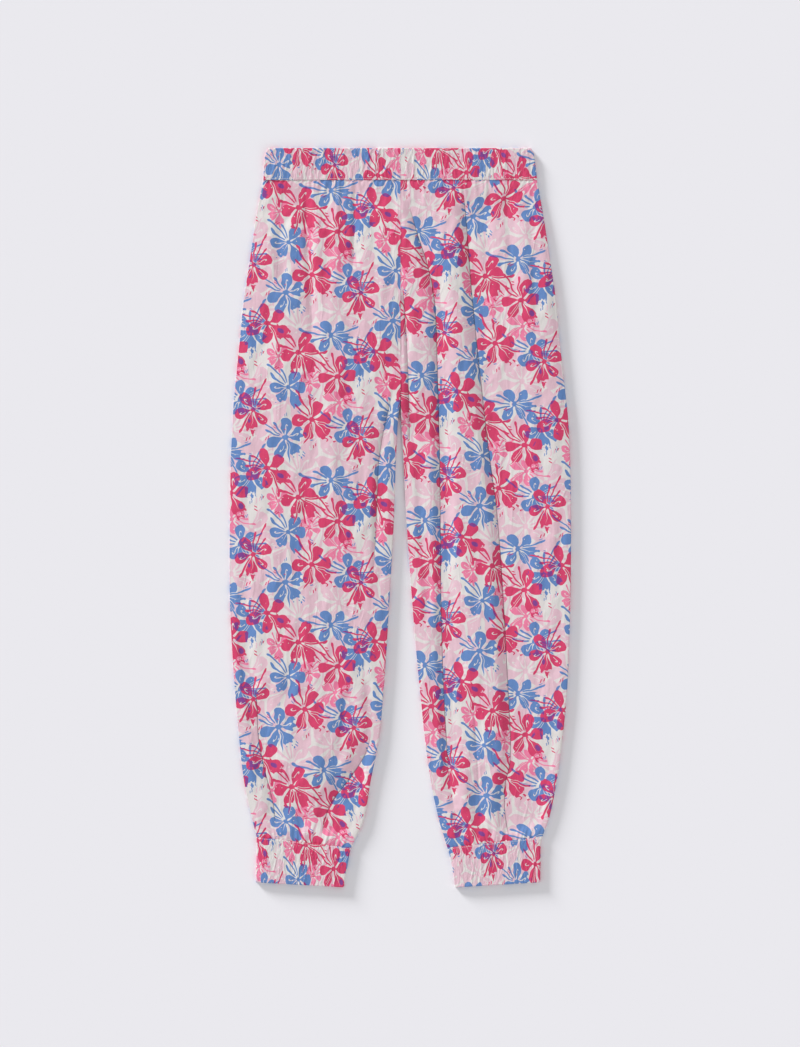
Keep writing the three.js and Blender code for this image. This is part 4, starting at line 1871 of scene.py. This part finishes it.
@dataclass(frozen=True)
class Sun:
    """A distant soft light: its strength, the way it comes from, its height and its spread in degrees."""

    name: str
    strength: float
    turn: float
    height: float
    spread: float

    def build(self) -> None:
        """Adds the light to the scene."""
        lamp = bpy.data.lights.new(self.name, "SUN")
        lamp.energy = self.strength
        lamp.angle = math.radians(self.spread)
        sun = add_object(self.name, lamp)
        turn, up = math.radians(self.turn), math.radians(self.height)
        source = Vector((math.cos(turn) * math.cos(up), math.sin(turn) * math.cos(up), math.sin(up)))
        sun.rotation_mode = "QUATERNION"
        sun.rotation_quaternion = source.to_track_quat("Z", "Y")


@dataclass
class Studio:
    """A pale floor, soft light from the upper left and a camera straight above."""

    floor_colour: Triple = (0.823, 0.815, 0.855)
    floor_size: float = 12.0
    floor_level: float = -2e-4
    ambient: float = 0.563
    key: Sun = Sun("key", 4.6, 132.0, 12.5, 14.0)
    fill: Sun = Sun("fill", 0.75, -48.0, 30.0, 40.0)
    lens: float = 100.0
    sensor: float = 36.0
    view_height: float = 1.361
    centre: Pair = (-0.0006, -0.0075)
    view_depth: float = 50.0

    def build(self) -> None:
        """Sets up the floor, the lights and the camera."""
        self._floor()
        self._light()
        self._camera()

    def _floor(self) -> None:
        """A plain matt floor."""
        half, level = self.floor_size / 2, self.floor_level
        mesh = bpy.data.meshes.new("floor")
        corners = [(-half, -half, level), (half, -half, level), (half, half, level), (-half, half, level)]
        mesh.from_pydata(corners, [], [(0, 1, 2, 3)])
        settings = {"Base Color": (*self.floor_colour, 1.0), "Roughness": 1.0, "Specular IOR Level": 0.0}
        paint, _, _ = new_material("floor_paint", settings)
        mesh.materials.append(paint)
        add_object("floor", mesh)

    def _light(self) -> None:
        """Even light all round, a broad soft light low at the upper left and a weak one opposite."""
        scene = bpy.context.scene
        scene.world = bpy.data.worlds.new("studio")
        scene.world.use_nodes = True
        sky = scene.world.node_tree.nodes["Background"]
        sky.inputs["Color"].default_value = (1.0, 1.0, 1.0, 1.0)
        sky.inputs["Strength"].default_value = self.ambient
        self.key.build()
        self.fill.build()
        scene.view_settings.view_transform = "Standard"

    def _camera(self) -> None:
        """A long lens looking straight down, with the waist at the top."""
        lens = bpy.data.cameras.new("camera")
        lens.lens = self.lens
        lens.sensor_width = self.sensor
        lens.clip_end = self.view_depth
        camera = add_object("camera", lens)
        camera.location = (*self.centre, self.view_height * self.lens / self.sensor)
        bpy.context.scene.camera = camera


PRINT_STARTS = {Hand.RIGHT: (12.0, 640.0), Hand.LEFT: (31.0, 655.0)}
BACK_SHIFT = 57.0
BAND_SHIFT = (64.0, 22.0)
CUFF_SHIFT = (40.0, 75.0)


def report(pieces: Sequence[Object]) -> None:
    """Logs each piece's name and how many faces it has."""
    for piece in pieces:
        LOG.info("%s: %d faces", piece.name, len(piece.data.polygons))


def main() -> None:
    """Builds the joggers and their setting."""
    logging.basicConfig(level=logging.INFO, format="%(name)s: %(message)s")
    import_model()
    garment = Garment(Measures.from_frame())
    Studio().build()
    cloth = PrintedCloth().material()
    thread = Thread().material()
    for hand in Hand:
        x, y = PRINT_STARTS[hand]
        for face, shift in ((Face.FRONT, 0.0), (Face.BACK, BACK_SHIFT)):
            start = (x + BAND_SHIFT[0] + shift, y + BAND_SHIFT[1])
            report(WaistbandPiece(garment, hand, start, face).build(cloth, thread))
            report(LegPanel(garment, hand, (x + shift, y), face).build(cloth))
        report(Cuff(garment, hand, (x + CUFF_SHIFT[0], y + CUFF_SHIFT[1])).build(cloth, thread))


if __name__ == "__main__":
    main()
